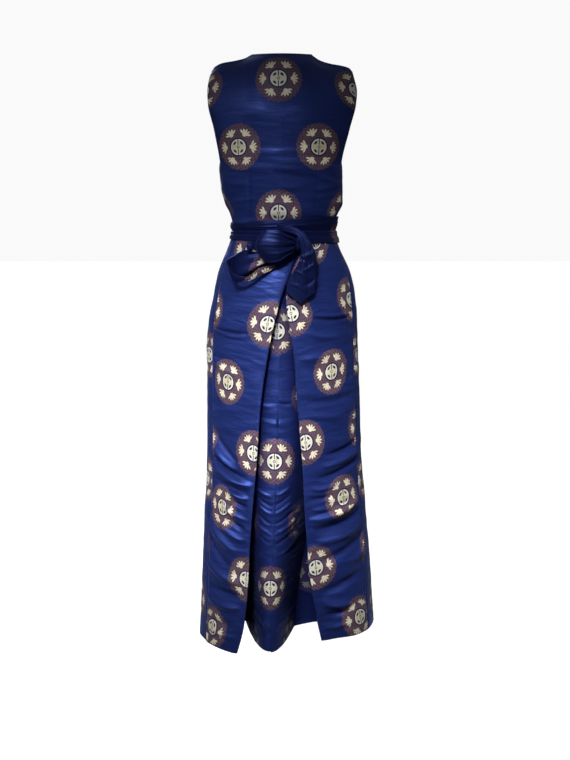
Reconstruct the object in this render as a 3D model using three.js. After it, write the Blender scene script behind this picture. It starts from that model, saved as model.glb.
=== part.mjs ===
// A sleeveless wrap robe in its worn shape, with a deep inverted pleat and a tied sash at the back.
// Millimetres, +Z up. The wearer faces -Y, so the pleat and the bow face +Y, and the wearer's left is +X.
// The origin is midway between the two points where the shoulder seams meet the neck.
import * as THREE from "three";

// Driving sizes
const CLOTH = 1.6; // brocade with its lining
const SEAM_GAP = 0.3; // between two pieces that are sewn together
const LAP_DEPTH = 4.2; // from the outer front to the front that lies under it
const WAIST_Z = -410;
const HEM_Z = -1395;
const HEM_TUCK = { left: 0.12, right: 0.01 }; // the hem's rise for each millimetre it lies inside the pleat
const NECK_HALF = 70;
const NECK_Y = 8;
const BACK_NECK_REACH = 38; // how far the neck edge stands back at its middle
const BACK_NECK_FALL = 2;
const FRONT_NECK_REACH = 46;
const FRONT_NECK_FALL = 52;
const TOP_FADE = 0.42; // share of the bodice's length over which the neck and shoulder line shape it
const UNDERARM_DOWN = 0.62; // share of the bodice's length from the shoulder seam to the side seam's top
const BUST = { x: 70, z: -222, reach: 62, rise: 11 };
const FOLD_RADIUS = 2.1; // at the pleat's outer edges
const VALLEY_RADIUS = 1.3; // deep in the pleat
const FRONT_WAVES = { count: 5, size: 5, offset: 0.6, fade: 1.1 }; // soft folds that grow towards the hem
const RAISE = { from: 95, to: 25 }; // the raised left panel's slope, in X from its edge
const LATE_DROP = { most: 12, power: 1.8 }; // the left return stays near its panel before it drops
const ROUNDED = { from: -480, to: -900 }; // heights over which the underlay fills out to a round
const DEGREE = Math.PI / 180;

// How finely each piece is cut into faces
const BACK_COLUMNS = 22;
const OUTER_FRONT_COLUMNS = 17;
const INNER_FRONT_COLUMNS = 14;
const OUTER_SKIRT_COLUMNS = 20;
const INNER_SKIRT_COLUMNS = 14;
const BAND_COLUMNS = 44;

const CLOTH_BLUE = 0x1b2f86;
const SHADED_BLUE = 0x101a4e; // the sash round the waist lies in shade
const ROUGHNESS = 0.42;

// The bodice's arcs, from the shoulder seam (down 0) to the waist (down 1). left, right, edgeY and
// edgeZ place the armhole and side seam, midY and midZ the middle, and spread is the half turn of the
// arc in degrees.
const BACK_ROWS = [
  { down: 0.0, left: 165, right: 165, edgeY: -6, edgeZ: -36, midY: 40, midZ: 4, spread: 25 },
  { down: 0.1, left: 170, right: 169, edgeY: 12, edgeZ: -56, midY: 62, midZ: -20, spread: 30 },
  { down: 0.2, left: 173, right: 174, edgeY: 28, edgeZ: -84, midY: 76, midZ: -56, spread: 36 },
  { down: 0.32, left: 171, right: 171, edgeY: 39, edgeZ: -118, midY: 86, midZ: -100, spread: 46 },
  { down: 0.46, left: 158, right: 157, edgeY: 42, edgeZ: -172, midY: 91, midZ: -164, spread: 58 },
  { down: 0.62, left: 144, right: 139, edgeY: 24, edgeZ: -258, midY: 89, midZ: -258, spread: 76 },
  { down: 0.72, left: 141, right: 140, edgeY: 23, edgeZ: -300, midY: 83, midZ: -300, spread: 75 },
  { down: 0.82, left: 130, right: 139, edgeY: 24, edgeZ: -340, midY: 76, midZ: -340, spread: 73 },
  { down: 0.89, left: 118, right: 128, edgeY: 25, edgeZ: -366, midY: 73, midZ: -366, spread: 72 },
  { down: 0.94, left: 112, right: 120, edgeY: 24, edgeZ: -386, midY: 68, midZ: -386, spread: 71 },
  { down: 1.0, left: 110, right: 118, edgeY: 23, edgeZ: -410, midY: 68, midZ: -410, spread: 70 },
];
const FRONT_ROWS = [
  { down: 0.0, left: 165, right: 165, edgeY: -6, edgeZ: -36, midY: -38, midZ: -48, spread: 25 },
  { down: 0.1, left: 158, right: 158, edgeY: -16, edgeZ: -62, midY: -62, midZ: -74, spread: 30 },
  { down: 0.2, left: 148, right: 148, edgeY: -27, edgeZ: -96, midY: -82, midZ: -106, spread: 38 },
  { down: 0.32, left: 140, right: 139, edgeY: -33, edgeZ: -138, midY: -102, midZ: -148, spread: 50 },
  { down: 0.46, left: 138, right: 136, edgeY: -20, edgeZ: -190, midY: -116, midZ: -198, spread: 70 },
  { down: 0.62, left: 144, right: 139, edgeY: 24, edgeZ: -258, midY: -117, midZ: -258, spread: 104 },
  { down: 0.72, left: 141, right: 140, edgeY: 23, edgeZ: -300, midY: -110, midZ: -300, spread: 105 },
  { down: 0.82, left: 130, right: 139, edgeY: 24, edgeZ: -340, midY: -101, midZ: -340, spread: 107 },
  { down: 0.89, left: 118, right: 128, edgeY: 25, edgeZ: -366, midY: -96, midZ: -366, spread: 108 },
  { down: 0.94, left: 112, right: 120, edgeY: 24, edgeZ: -386, midY: -91, midZ: -386, spread: 109 },
  { down: 1.0, left: 110, right: 118, edgeY: 23, edgeZ: -410, midY: -90, midZ: -410, spread: 110 },
];
// The shoulder seam, from the neck out to the armhole, with its height at the wearer's left and right.
const SHOULDER_ROWS = [
  { x: 70, y: 8, left: 0, right: -2 },
  { x: 88, y: 6, left: -9, right: -13 },
  { x: 112, y: 2, left: -14, right: -20 },
  { x: 138, y: -2, left: -18, right: -24 },
  { x: 156, y: -5, left: -26, right: -29 },
  { x: 165, y: -6, left: -37, right: -38 },
];
// Where each front's neckline and wrap edge lies across the body: 1 is the left side, -1 the right.
const LAP_ROWS = [
  { down: 0.0, outer: 0.427, inner: -0.427 },
  { down: 0.1, outer: 0.37, inner: -0.37 },
  { down: 0.2, outer: 0.28, inner: -0.28 },
  { down: 0.32, outer: 0.16, inner: -0.16 },
  { down: 0.46, outer: -0.01, inner: 0.01 },
  { down: 0.62, outer: -0.22, inner: 0.18 },
  { down: 0.72, outer: -0.42, inner: 0.22 },
  { down: 0.82, outer: -0.57, inner: 0.24 },
  { down: 1.0, outer: -0.62, inner: 0.24 },
];
// The skirt's rings. left, right, back and front reach from the middle to the cloth.
const SKIRT_ROWS = [
  { z: -410, left: 117.1, right: 125.6, back: 68, front: 90, seamY: 23, spread: 70 },
  { z: -454, left: 134, right: 143, back: 87, front: 97, seamY: 31, spread: 69 },
  { z: -500, left: 152, right: 165, back: 103, front: 103, seamY: 38, spread: 68 },
  { z: -560, left: 165, right: 178, back: 115, front: 107, seamY: 44, spread: 67 },
  { z: -620, left: 177, right: 184, back: 121, front: 110, seamY: 48, spread: 66 },
  { z: -700, left: 182, right: 187, back: 126, front: 112, seamY: 51, spread: 66 },
  { z: -820, left: 182, right: 192, back: 133, front: 117, seamY: 54, spread: 66 },
  { z: -950, left: 184, right: 197, back: 141, front: 124, seamY: 57, spread: 66 },
  { z: -1100, left: 192, right: 210, back: 151, front: 133, seamY: 61, spread: 66 },
  { z: -1250, left: 199, right: 222, back: 162, front: 142, seamY: 66, spread: 66 },
  { z: -1400, left: 206, right: 232, back: 171, front: 150, seamY: 70, spread: 66 },
];
// The hem's height across the robe: it hangs lower at the wearer's left.
const HEM_ROWS = [
  { x: -235, z: -1377 },
  { x: -98, z: -1381 },
  { x: 27, z: -1405 },
  { x: 112, z: -1410 },
  { x: 210, z: -1406 },
];
// The pleat's lines down the back, as X places, and the ridge's depth behind the ring.
const PLEAT_ROWS = [
  { z: -410, edgeLeft: -39, edgeRight: -20, ridge: -5, ridgeIn: 9 },
  { z: -480, edgeLeft: -24, edgeRight: -12, ridge: -4, ridgeIn: 10 },
  { z: -560, edgeLeft: 5, edgeRight: -12, ridge: -2, ridgeIn: 11 },
  { z: -680, edgeLeft: 33, edgeRight: -29, ridge: 4, ridgeIn: 13 },
  { z: -800, edgeLeft: 51, edgeRight: -38, ridge: 9, ridgeIn: 13 },
  { z: -950, edgeLeft: 63, edgeRight: -50, ridge: 13, ridgeIn: 13 },
  { z: -1100, edgeLeft: 76, edgeRight: -58, ridge: 19, ridgeIn: 14 },
  { z: -1250, edgeLeft: 85, edgeRight: -72, ridge: 27, ridgeIn: 16 },
  { z: -1330, edgeLeft: 94, edgeRight: -86, ridge: 27, ridgeIn: 18 },
  { z: -1410, edgeLeft: 115, edgeRight: -100, ridge: 27, ridgeIn: 20 },
];
// From each edge to its valley: the shift across, towards the panel, and the depth. lift raises the
// panel's edge. level is the share of the underlay that stays level, from the valley, before it comes out.
const LEFT_FOLD_ROWS = [
  { z: -410, shift: 52, depth: 4, lift: 5.8, level: 0 },
  { z: -480, shift: 56, depth: 5, lift: 6.4, level: 0 },
  { z: -560, shift: 60, depth: 9, lift: 3.6, level: 0 },
  { z: -680, shift: 64, depth: 21, lift: 0, level: 0 },
  { z: -800, shift: 63, depth: 38, lift: 0, level: 0 },
  { z: -950, shift: 52, depth: 64, lift: 0, level: 0 },
  { z: -1100, shift: 36, depth: 96, lift: 0, level: 0 },
  { z: -1250, shift: 12, depth: 130, lift: 0, level: 0 },
  { z: -1330, shift: -2, depth: 148, lift: 0, level: 0 },
  { z: -1410, shift: -18, depth: 164, lift: 0, level: 0 },
];
const RIGHT_FOLD_ROWS = [
  { z: -410, shift: 52, depth: 4, lift: 0, level: 0 },
  { z: -480, shift: 56, depth: 5, lift: 0, level: 0 },
  { z: -560, shift: 60, depth: 9, lift: 0, level: 0 },
  { z: -680, shift: 62, depth: 21, lift: 0, level: 0 },
  { z: -800, shift: 60, depth: 36, lift: 0, level: 0 },
  { z: -950, shift: 48, depth: 60, lift: -1, level: 0.06 },
  { z: -1100, shift: 32, depth: 86, lift: -4, level: 0.18 },
  { z: -1250, shift: 10, depth: 106, lift: -10, level: 0.34 },
  { z: -1330, shift: -2, depth: 114, lift: -15, level: 0.44 },
  { z: -1410, shift: -12, depth: 122, lift: -20, level: 0.5 },
];

const lerp = (a, b, share) => a + (b - a) * share;
const clamp01 = (x) => Math.min(1, Math.max(0, x));
const smooth = (from, to, x) => {
  const share = clamp01((x - from) / (to - from));
  return share * share * (3 - 2 * share);
};

// Reads a table as smooth curves that don't overshoot: a value of the key column gives every other
// column there.
function curvesThrough(rows, key) {
  const columns = Object.keys(rows[0]);
  const slopeAt = (column, i) => {
    if (i === 0 || i === rows.length - 1) return null;
    const before = (rows[i][column] - rows[i - 1][column]) / (rows[i][key] - rows[i - 1][key]);
    const after = (rows[i + 1][column] - rows[i][column]) / (rows[i + 1][key] - rows[i][key]);
    return before * after <= 0 ? 0 : (2 * before * after) / (before + after);
  };
  return (at) => {
    const rising = rows[1][key] > rows[0][key];
    let i = 0;
    while (i < rows.length - 2 && (rising ? at > rows[i + 1][key] : at < rows[i + 1][key])) i++;
    const [low, high] = [rows[i], rows[i + 1]];
    const span = high[key] - low[key];
    const s = clamp01((at - low[key]) / span);
    const found = {};
    for (const column of columns) {
      const chord = (high[column] - low[column]) / span;
      const start = (slopeAt(column, i) ?? chord) * span;
      const end = (slopeAt(column, i + 1) ?? chord) * span;
      const rise = high[column] - low[column];
      const bend = 3 * rise - 2 * start - end;
      found[column] = low[column] + start * s + bend * s * s + (start + end - 2 * rise) * s * s * s;
    }
    return found;
  };
}

const backRow = curvesThrough(BACK_ROWS, "down");
const frontRow = curvesThrough(FRONT_ROWS, "down");
const lapAt = curvesThrough(LAP_ROWS, "down");
const skirtRow = curvesThrough(SKIRT_ROWS, "z");
const pleatRow = curvesThrough(PLEAT_ROWS, "z");
const leftFoldRow = curvesThrough(LEFT_FOLD_ROWS, "z");
const rightFoldRow = curvesThrough(RIGHT_FOLD_ROWS, "z");
const shoulderRow = curvesThrough(SHOULDER_ROWS, "x");
const hemRow = curvesThrough(HEM_ROWS, "x");

// A cloth wall. face[i][j] are points on the face side, and inward[i][j] the directions to the lining side.
// ring joins the last column to the first.
function wall(name, face, inward, { ring = false, color = CLOTH_BLUE } = {}) {
  const rows = face.length;
  const columns = face[0].length;
  const positions = [];
  const add = (p, direction, depth) => positions.push(...p.clone().addScaledVector(direction, depth));
  for (const depth of [0, CLOTH]) {
    face.forEach((row, i) => row.forEach((p, j) => add(p, inward[i][j], depth)));
  }
  const id = (layer, i, j) => layer * rows * columns + i * columns + (j % columns);
  const index = [];
  const quad = (a, b, c, d) => index.push(a, b, c, a, c, d);
  const last = ring ? columns : columns - 1;
  for (let i = 0; i < rows - 1; i++)
    for (let j = 0; j < last; j++) {
      quad(id(0, i, j), id(0, i + 1, j), id(0, i + 1, j + 1), id(0, i, j + 1));
      quad(id(1, i, j), id(1, i, j + 1), id(1, i + 1, j + 1), id(1, i + 1, j));
    }
  for (let j = 0; j < last; j++) {
    quad(id(0, 0, j), id(0, 0, j + 1), id(1, 0, j + 1), id(1, 0, j));
    quad(id(0, rows - 1, j), id(1, rows - 1, j), id(1, rows - 1, j + 1), id(0, rows - 1, j + 1));
  }
  if (!ring)
    for (let i = 0; i < rows - 1; i++) {
      quad(id(0, i, 0), id(1, i, 0), id(1, i + 1, 0), id(0, i + 1, 0));
      quad(id(0, i, last), id(0, i + 1, last), id(1, i + 1, last), id(1, i, last));
    }
  return named(name, facingOut(positions, index), color);
}

// A geometry whose faces point out, whichever way round its points were listed.
function facingOut(positions, index) {
  const at = (k) => new THREE.Vector3().fromArray(positions, 3 * index[k]);
  let volume = 0;
  for (let k = 0; k < index.length; k += 3) volume += at(k).dot(at(k + 1).cross(at(k + 2)));
  if (volume < 0) index.reverse();
  const geometry = new THREE.BufferGeometry();
  geometry.setAttribute("position", new THREE.Float32BufferAttribute(positions, 3));
  geometry.setIndex(index);
  geometry.computeVertexNormals();
  return geometry;
}

function named(name, geometry, color = CLOTH_BLUE) {
  const material = new THREE.MeshStandardMaterial({ color, roughness: ROUGHNESS, metalness: 0 });
  const mesh = new THREE.Mesh(geometry, material);
  mesh.name = name;
  return mesh;
}

// A grid of points from a function of two shares, down and across.
function grid(rows, columns, point) {
  return Array.from({ length: rows + 1 }, (_, i) =>
    Array.from({ length: columns + 1 }, (_, j) => point(i / rows, j / columns)),
  );
}

// Unit directions square to a grid of points, all on the side of the point that toward gives.
function squareTo(face, toward) {
  const rows = face.length - 1;
  const columns = face[0].length - 1;
  return face.map((row, i) =>
    row.map((p, j) => {
      const down = face[Math.min(rows, i + 1)][j].clone().sub(face[Math.max(0, i - 1)][j]);
      const across = row[Math.min(columns, j + 1)].clone().sub(row[Math.max(0, j - 1)]);
      const square = down.cross(across).normalize();
      return square.dot(toward(p).sub(p)) < 0 ? square.negate() : square;
    }),
  );
}

const BELOW = 30; // walls look a little down as well as in, so the shoulders' walls lie under their faces
const bodyMiddle = (p) => new THREE.Vector3(0, 0, p.z - BELOW);
const level = (v) => v.clone().setZ(0).normalize();

// A point of one arc across the body. across is 1 at the wearer's left edge and -1 at the right.
function arcPoint(row, across) {
  const half = row.spread * DEGREE;
  const turn = across * half;
  const edge = across >= 0 ? row.left : row.right;
  const share = (Math.cos(turn) - Math.cos(half)) / (1 - Math.cos(half));
  return new THREE.Vector3(
    (edge * Math.sin(turn)) / Math.sin(half),
    lerp(row.edgeY, row.midY, share),
    lerp(row.edgeZ, row.midZ, share),
  );
}

// The shoulder seam, and between its ends the neck edge at the back or the neck's base at the front.
function topLine(across, front) {
  const armhole = SHOULDER_ROWS[SHOULDER_ROWS.length - 1].x;
  const x = armhole * across;
  const out = Math.abs(x);
  if (out >= NECK_HALF) {
    const seam = shoulderRow(out);
    return new THREE.Vector3(x, seam.y, x > 0 ? seam.left : seam.right);
  }
  const share = 1 - (out / NECK_HALF) ** 2;
  return front
    ? new THREE.Vector3(x, NECK_Y - FRONT_NECK_REACH * share, -FRONT_NECK_FALL * share)
    : new THREE.Vector3(x, NECK_Y + BACK_NECK_REACH * share, -BACK_NECK_FALL * share);
}

// The bodice's form: arcs down the body, drawn to the shoulder and neck line at the top.
function bodicePoint(down, across, front) {
  const rowAt = front ? frontRow : backRow;
  const p = arcPoint(rowAt(down), across);
  const pull = (1 - smooth(0, TOP_FADE, down)) * (1 - down);
  p.addScaledVector(topLine(across, front).sub(arcPoint(rowAt(0), across)), pull);
  if (front) {
    const away = Math.hypot(Math.abs(p.x) - BUST.x, p.z - BUST.z) / BUST.reach;
    p.y -= BUST.rise * Math.exp(-away * away) * smooth(-20, -70, p.y);
  }
  return p;
}

// Directions in at the seams that two pieces share, so that their walls stay parallel there.
function sideSeamInward(down) {
  const row = backRow(down);
  const half = row.spread * DEGREE;
  const wide = row.left / Math.sin(half);
  const deep = (row.midY - row.edgeY) / (1 - Math.cos(half));
  return new THREE.Vector3(-Math.sin(half) / wide, -Math.cos(half) / deep, 0).normalize();
}
const SHOULDER_LEAN = 14 * DEGREE; // the shoulder seam's slope
const shoulderInward = (x) =>
  new THREE.Vector3(-Math.sign(x) * Math.sin(SHOULDER_LEAN), 0, -Math.cos(SHOULDER_LEAN));

const SEAM_EASE = 0.12; // share of the bodice's length over which the armhole's walls turn to the side seam's

// Settles the directions of a bodice wall at its top row, waist row and side seams.
function settleBodice(face, inward, downOf, seamColumns) {
  const last = inward.length - 1;
  inward[0].forEach((direction, j) => {
    if (Math.abs(face[0][j].x) >= NECK_HALF - 1) direction.copy(shoulderInward(face[0][j].x));
  });
  for (const j of seamColumns)
    for (let i = 1; i <= last; i++) {
      const side = Math.sign(face[i][j].x);
      const share = smooth(UNDERARM_DOWN - SEAM_EASE, UNDERARM_DOWN, downOf(i));
      const seam = sideSeamInward(downOf(i));
      inward[i][j].lerp(seam.setX(seam.x * side), share).normalize();
    }
  inward[last] = inward[last].map(level);
  return inward;
}

const BODICE_DOWN = [
  0, 0.04, 0.1, 0.17, 0.24, 0.31, 0.38, 0.44, 0.5, 0.55, 0.6, 0.65, 0.7, 0.76, 0.82, 0.86, 0.89, 0.92,
  0.95, 1,
];
const SHOULDER_SHIFT = new THREE.Vector3(0, SEAM_GAP / 2, 0);
const WAIST_SHIFT = new THREE.Vector3(0, 0, SEAM_GAP / 2);

// across, drawn back from a side seam by half the gap.
const TYPICAL_ARC = 190; // from the middle round to a side seam
const offSeam = (across) => Math.sign(across) * Math.min(Math.abs(across), 1 - SEAM_GAP / 2 / TYPICAL_ARC);

function bodiceWall(name, columns, acrossAt, front, inset, seamColumns) {
  const rows = BODICE_DOWN.length - 1;
  const face = grid(rows, columns, (v, u) => {
    const down = BODICE_DOWN[Math.round(v * rows)];
    const across = offSeam(acrossAt(down, u));
    const p = bodicePoint(down, across, front);
    if (down === 0) p.addScaledVector(SHOULDER_SHIFT, front ? -1 : 1);
    if (down === 1) p.add(WAIST_SHIFT);
    return p;
  });
  const inward = squareTo(face, bodyMiddle);
  BODICE_DOWN.forEach((down, i) =>
    face[i].forEach((p, j) => p.addScaledVector(inward[i][j], inset(down, acrossAt(down, j / columns)))),
  );
  return wall(name, face, settleBodice(face, inward, (i) => BODICE_DOWN[i], seamColumns));
}

const noInset = () => 0;

function makeBodiceBack() {
  const seams = [0, BACK_COLUMNS];
  return bodiceWall("bodice_back", BACK_COLUMNS, (down, u) => 1 - 2 * u, false, noInset, seams);
}

function makeBodiceFrontOuter() {
  const acrossAt = (down, u) => lerp(1, lapAt(down).outer, u);
  return bodiceWall("bodice_front_outer", OUTER_FRONT_COLUMNS, acrossAt, true, noInset, [0]);
}

// The under front starts at the right side seam and shoulder, and eases in to a lap's depth.
const LAP_EASE = { down: { from: 0.02, to: 0.3 }, across: { from: -0.98, to: -0.72 } };
const lapEase = (across) => smooth(LAP_EASE.across.from, LAP_EASE.across.to, across);

function makeBodiceFrontInner() {
  const { down: ease } = LAP_EASE;
  const inset = (down, across) => LAP_DEPTH * smooth(ease.from, ease.to, down) * lapEase(across);
  const acrossAt = (down, u) => lerp(-1, lapAt(down).inner, u);
  return bodiceWall("bodice_front_inner", INNER_FRONT_COLUMNS, acrossAt, true, inset, [0]);
}

// The skirt's ring at a height. front chooses the arc, and out moves it outward.
function skirtArc(z, front, out = 0) {
  const row = skirtRow(z);
  const spread = front ? 180 - row.spread : row.spread;
  const seam = Math.sin(row.spread * DEGREE);
  return {
    left: (row.left + out) * seam,
    right: (row.right + out) * seam,
    edgeY: row.seamY,
    midY: front ? -row.front - out : row.back + out,
    edgeZ: z,
    midZ: z,
    spread,
  };
}

// Soft upright waves that grow towards the hem and fade out at the seams.
function drape(across, down) {
  const { count, size, offset, fade } = FRONT_WAVES;
  const share = Math.sin(Math.PI * Math.min(0.5, (1 - Math.abs(across)) * fade));
  return size * down * down * share * Math.sin(count * Math.PI * across + offset);
}

const SKIRT_DOWN = [
  0, 0.02, 0.045, 0.075, 0.11, 0.15, 0.2, 0.26, 0.33, 0.41, 0.5, 0.59, 0.68, 0.77, 0.85, 0.91, 0.96, 1,
];
const hemShift = (x, down) => (hemRow(x).z - HEM_Z) * down * down;
const skirtZ = (down) => lerp(WAIST_Z - SEAM_GAP / 2, HEM_Z, down);

function settleSkirt(face, inward, seamColumns) {
  for (const j of seamColumns)
    for (let i = 0; i < face.length; i++) {
      const row = skirtRow(skirtZ(SKIRT_DOWN[i]));
      const half = row.spread * DEGREE;
      const deep = (row.back - row.seamY) / (1 - Math.cos(half));
      const side = Math.sign(face[i][j].x);
      inward[i][j].set((-side * Math.sin(half)) / row.left, -Math.cos(half) / deep, 0).normalize();
    }
  inward[0] = inward[0].map(level);
  return inward;
}

// Where the two fronts' free edges lie across the skirt, in the sense of LAP_ROWS.
const SKIRT_LAP = { waist: { outer: -0.62, inner: 0.24 }, hem: { outer: -0.56, inner: 0.2 } };

function skirtFrontWall(name, columns, acrossAt, inset) {
  const rows = SKIRT_DOWN.length - 1;
  const face = grid(rows, columns, (v, u) => {
    const down = SKIRT_DOWN[Math.round(v * rows)];
    const across = offSeam(acrossAt(down, u));
    const p = arcPoint(skirtArc(skirtZ(down), true, drape(across, down) - inset(across)), across);
    p.z += hemShift(p.x, down);
    return p;
  });
  return wall(name, face, settleSkirt(face, squareTo(face, bodyMiddle), [0]));
}

function makeSkirtFrontOuter() {
  const acrossAt = (down, u) => lerp(1, lerp(SKIRT_LAP.waist.outer, SKIRT_LAP.hem.outer, down), u);
  return skirtFrontWall("skirt_front_outer", OUTER_SKIRT_COLUMNS, acrossAt, noInset);
}

function makeSkirtFrontInner() {
  const acrossAt = (down, u) => lerp(-1, lerp(SKIRT_LAP.waist.inner, SKIRT_LAP.hem.inner, down), u);
  const inset = (across) => LAP_DEPTH * lapEase(across);
  return skirtFrontWall("skirt_front_inner", INNER_SKIRT_COLUMNS, acrossAt, inset);
}

// Points of a round turn from a start, to the left of its heading where side is 1 and to the right
// where it is -1.
function turnPoints(start, heading, turn, radius, side, count) {
  const middle = start.clone().add(new THREE.Vector2(-heading.y, heading.x).multiplyScalar(radius * side));
  return Array.from({ length: count }, (_, k) =>
    start.clone().rotateAround(middle, (side * turn * (k + 1)) / count),
  );
}

const between = (a, b, count) =>
  Array.from({ length: count }, (_, k) => a.clone().lerp(b, (k + 1) / count));

// How far a heading has to turn to one side to reach another, from 0 to a full turn.
function turnTo(from, to, side) {
  const angle = side * (to.angle() - from.angle());
  return angle < 0 ? angle + 2 * Math.PI : angle;
}

const PANEL_STEPS = 9;
const TURN_STEPS = 3;
const RETURN_STEPS = 4;
const UNDERLAY_STEPS = 7;

// One half of the back skirt at a height, from its side seam over the pleat's edge, in to the valley
// and back out to the centre seam. It is worked out as for the wearer's left, with the right half
// mirrored. Each point is its X, its Y and how far it lies inside the ring.
function pleatedHalf(z, left) {
  const lines = pleatRow(z);
  const fold = left ? leftFoldRow(z) : rightFoldRow(z);
  const side = left ? 1 : -1;
  const edgeX = side * (left ? lines.edgeLeft : lines.edgeRight);
  const ridgeX = side * lines.ridge + SEAM_GAP / 2;
  const arc = skirtArc(z, false);
  const half = arc.spread * DEGREE;
  const reach = (x) => (x >= 0 === left ? arc.left : arc.right) / Math.sin(half);
  const acrossAt = (x) => Math.asin(clamp01(Math.abs(x) / reach(x)) * Math.sign(x)) / half;
  const onRing = (across) => {
    const p = arcPoint(arc, side * across);
    return new THREE.Vector2(side * p.x, p.y);
  };
  const raise = (x) => fold.lift * smooth(edgeX + RAISE.from, edgeX + RAISE.to, x);
  const points = [];
  for (let k = 0; k <= PANEL_STEPS; k++) {
    const p = onRing(lerp(offSeam(1), acrossAt(edgeX), k / PANEL_STEPS));
    points.push(p.setY(p.y + raise(p.x)));
  }
  const edge = points[PANEL_STEPS];
  const heading = edge.clone().sub(points[PANEL_STEPS - 1]).normalize();
  const valley = onRing(acrossAt(edgeX + fold.shift));
  valley.y += raise(edgeX + fold.shift) - fold.depth - 2 * FOLD_RADIUS;
  const toValley = valley.clone().sub(edge.clone().setY(edge.y - 2 * FOLD_RADIUS)).normalize();
  points.push(...turnPoints(edge, heading, turnTo(heading, toValley, 1), FOLD_RADIUS, 1, TURN_STEPS));
  const folded = points[points.length - 1];
  const raised = (x) => onRing(acrossAt(x)).y + raise(x);
  for (const p of between(folded, valley, RETURN_STEPS)) {
    const share = p.distanceTo(folded) / valley.distanceTo(folded);
    const late = Math.min(fold.depth, LATE_DROP.most) * (share - share ** LATE_DROP.power);
    p.y += bow(folded, valley, p, raised) + (left ? late : 0);
    points.push(p);
  }
  const ridge = onRing(acrossAt(ridgeX));
  ridge.set(ridgeX, ridge.y - lines.ridgeIn);
  const into = valley.clone().sub(points[points.length - 2]).normalize();
  const toRidge = ridge.clone().sub(valley).normalize();
  points.push(...turnPoints(valley, into, turnTo(into, toRidge, -1), VALLEY_RADIUS, -1, TURN_STEPS));
  const start = points[points.length - 1];
  const round = smooth(ROUNDED.from, ROUNDED.to, z);
  for (const p of between(start, ridge, UNDERLAY_STEPS)) {
    const share = p.distanceTo(start) / ridge.distanceTo(start);
    const rise = clamp01((share - fold.level) / (1 - fold.level));
    p.y = lerp(p.y, lerp(start.y, ridge.y, 1 - (1 - rise) ** 2), round);
    points.push(p);
  }
  const inside = (p) => Math.max(0, onRing(acrossAt(p.x)).y - p.y);
  return points.map((p) => new THREE.Vector3(side * p.x, p.y, inside(p)));
}

// How much a curve stands out past its own chord between the places of a and b, at the place of p.
function bow(a, b, p, curve) {
  const share = Math.abs(b.x - a.x) < 0.01 ? 0 : (p.x - a.x) / (b.x - a.x);
  return curve(p.x) - lerp(curve(a.x), curve(b.x), share);
}

// Directions square to a flat path, on its lining side.
function pathInward(path, left) {
  const last = path.length - 1;
  return path.map((p, k) => {
    const along = path[Math.min(last, k + 1)].clone().sub(path[Math.max(0, k - 1)]).normalize();
    const lining = left ? [-along.y, along.x] : [along.y, -along.x];
    return k === last ? new THREE.Vector3(0, -1, 0) : new THREE.Vector3(...lining, 0);
  });
}

function makeSkirtBack(name, left) {
  const tuck = left ? HEM_TUCK.left : HEM_TUCK.right;
  const face = [];
  const inward = [];
  for (const down of SKIRT_DOWN) {
    const z = skirtZ(down);
    const path = pleatedHalf(z, left);
    const heightAt = (p) => z + hemShift(p.x, down) + tuck * p.z * down * down;
    face.push(path.map((p) => new THREE.Vector3(p.x, p.y, heightAt(p))));
    inward.push(pathInward(path.map((p) => new THREE.Vector2(p.x, p.y)), left));
  }
  return wall(name, face, settleSkirt(face, inward, [0]));
}

// The sash. Its band follows the waist, a little out, with folds along it that are deepest at the back.
const BAND_ROWS = [
  { across: 0, out: 0.6 },
  { across: 0.14, out: 2.8 },
  { across: 0.36, out: 3.4 },
  { across: 0.48, out: 1.2 },
  { across: 0.62, out: 2.8 },
  { across: 1, out: 0.8 },
];
const BAND_CLEAR = 2.4; // from the robe to the band's lining side, with the cloth's own thickness
// The band lies further out where it crosses the pleat's layers.
const PLEAT_ROOM = { middle: -8, near: 40, far: 88, out: 8 };
const BAND_TOP = { left: -386, right: -372, front: -383 };
const BAND_FOOT = { left: -425, right: -434, front: -428 };

// A height round the waist that goes from its value at the left through the middle to the right.
const TO_FRONT = { from: 0.2, to: -0.8 };
const roundHeight = (sizes, angle) => {
  const side = Math.sin(angle);
  const middle = (sizes.left + sizes.right) / 2;
  const ends = lerp(middle, side > 0 ? sizes.left : sizes.right, Math.abs(side));
  return lerp(ends, sizes.front, smooth(TO_FRONT.from, TO_FRONT.to, Math.cos(angle)));
};

// The robe's ring near the waist, moved out, by degrees of turn from the middle of the back to the
// wearer's left.
const nearWaist = [BACK_ROWS, FRONT_ROWS].map((rows) => curvesThrough(rows.slice(-4), "edgeZ"));
function waistPoint(z, turn, out) {
  const spread = (z > WAIST_Z ? nearWaist[0](z) : skirtRow(z)).spread;
  const front = Math.abs(turn) > spread;
  const across = front ? (180 - Math.abs(turn)) / (180 - spread) : Math.abs(turn) / spread;
  if (z <= WAIST_Z) return arcPoint(skirtArc(z, front, out), Math.sign(turn) * across);
  const row = nearWaist[front ? 1 : 0](z);
  const seam = Math.sin(spread * DEGREE);
  row.left += out * seam;
  row.right += out * seam;
  row.midY += front ? -out : out;
  return arcPoint(row, Math.sign(turn) * across);
}

const BAND_DEPTH_WEIGHT = 1.4; // the waist's oval is wider than it is deep

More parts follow.
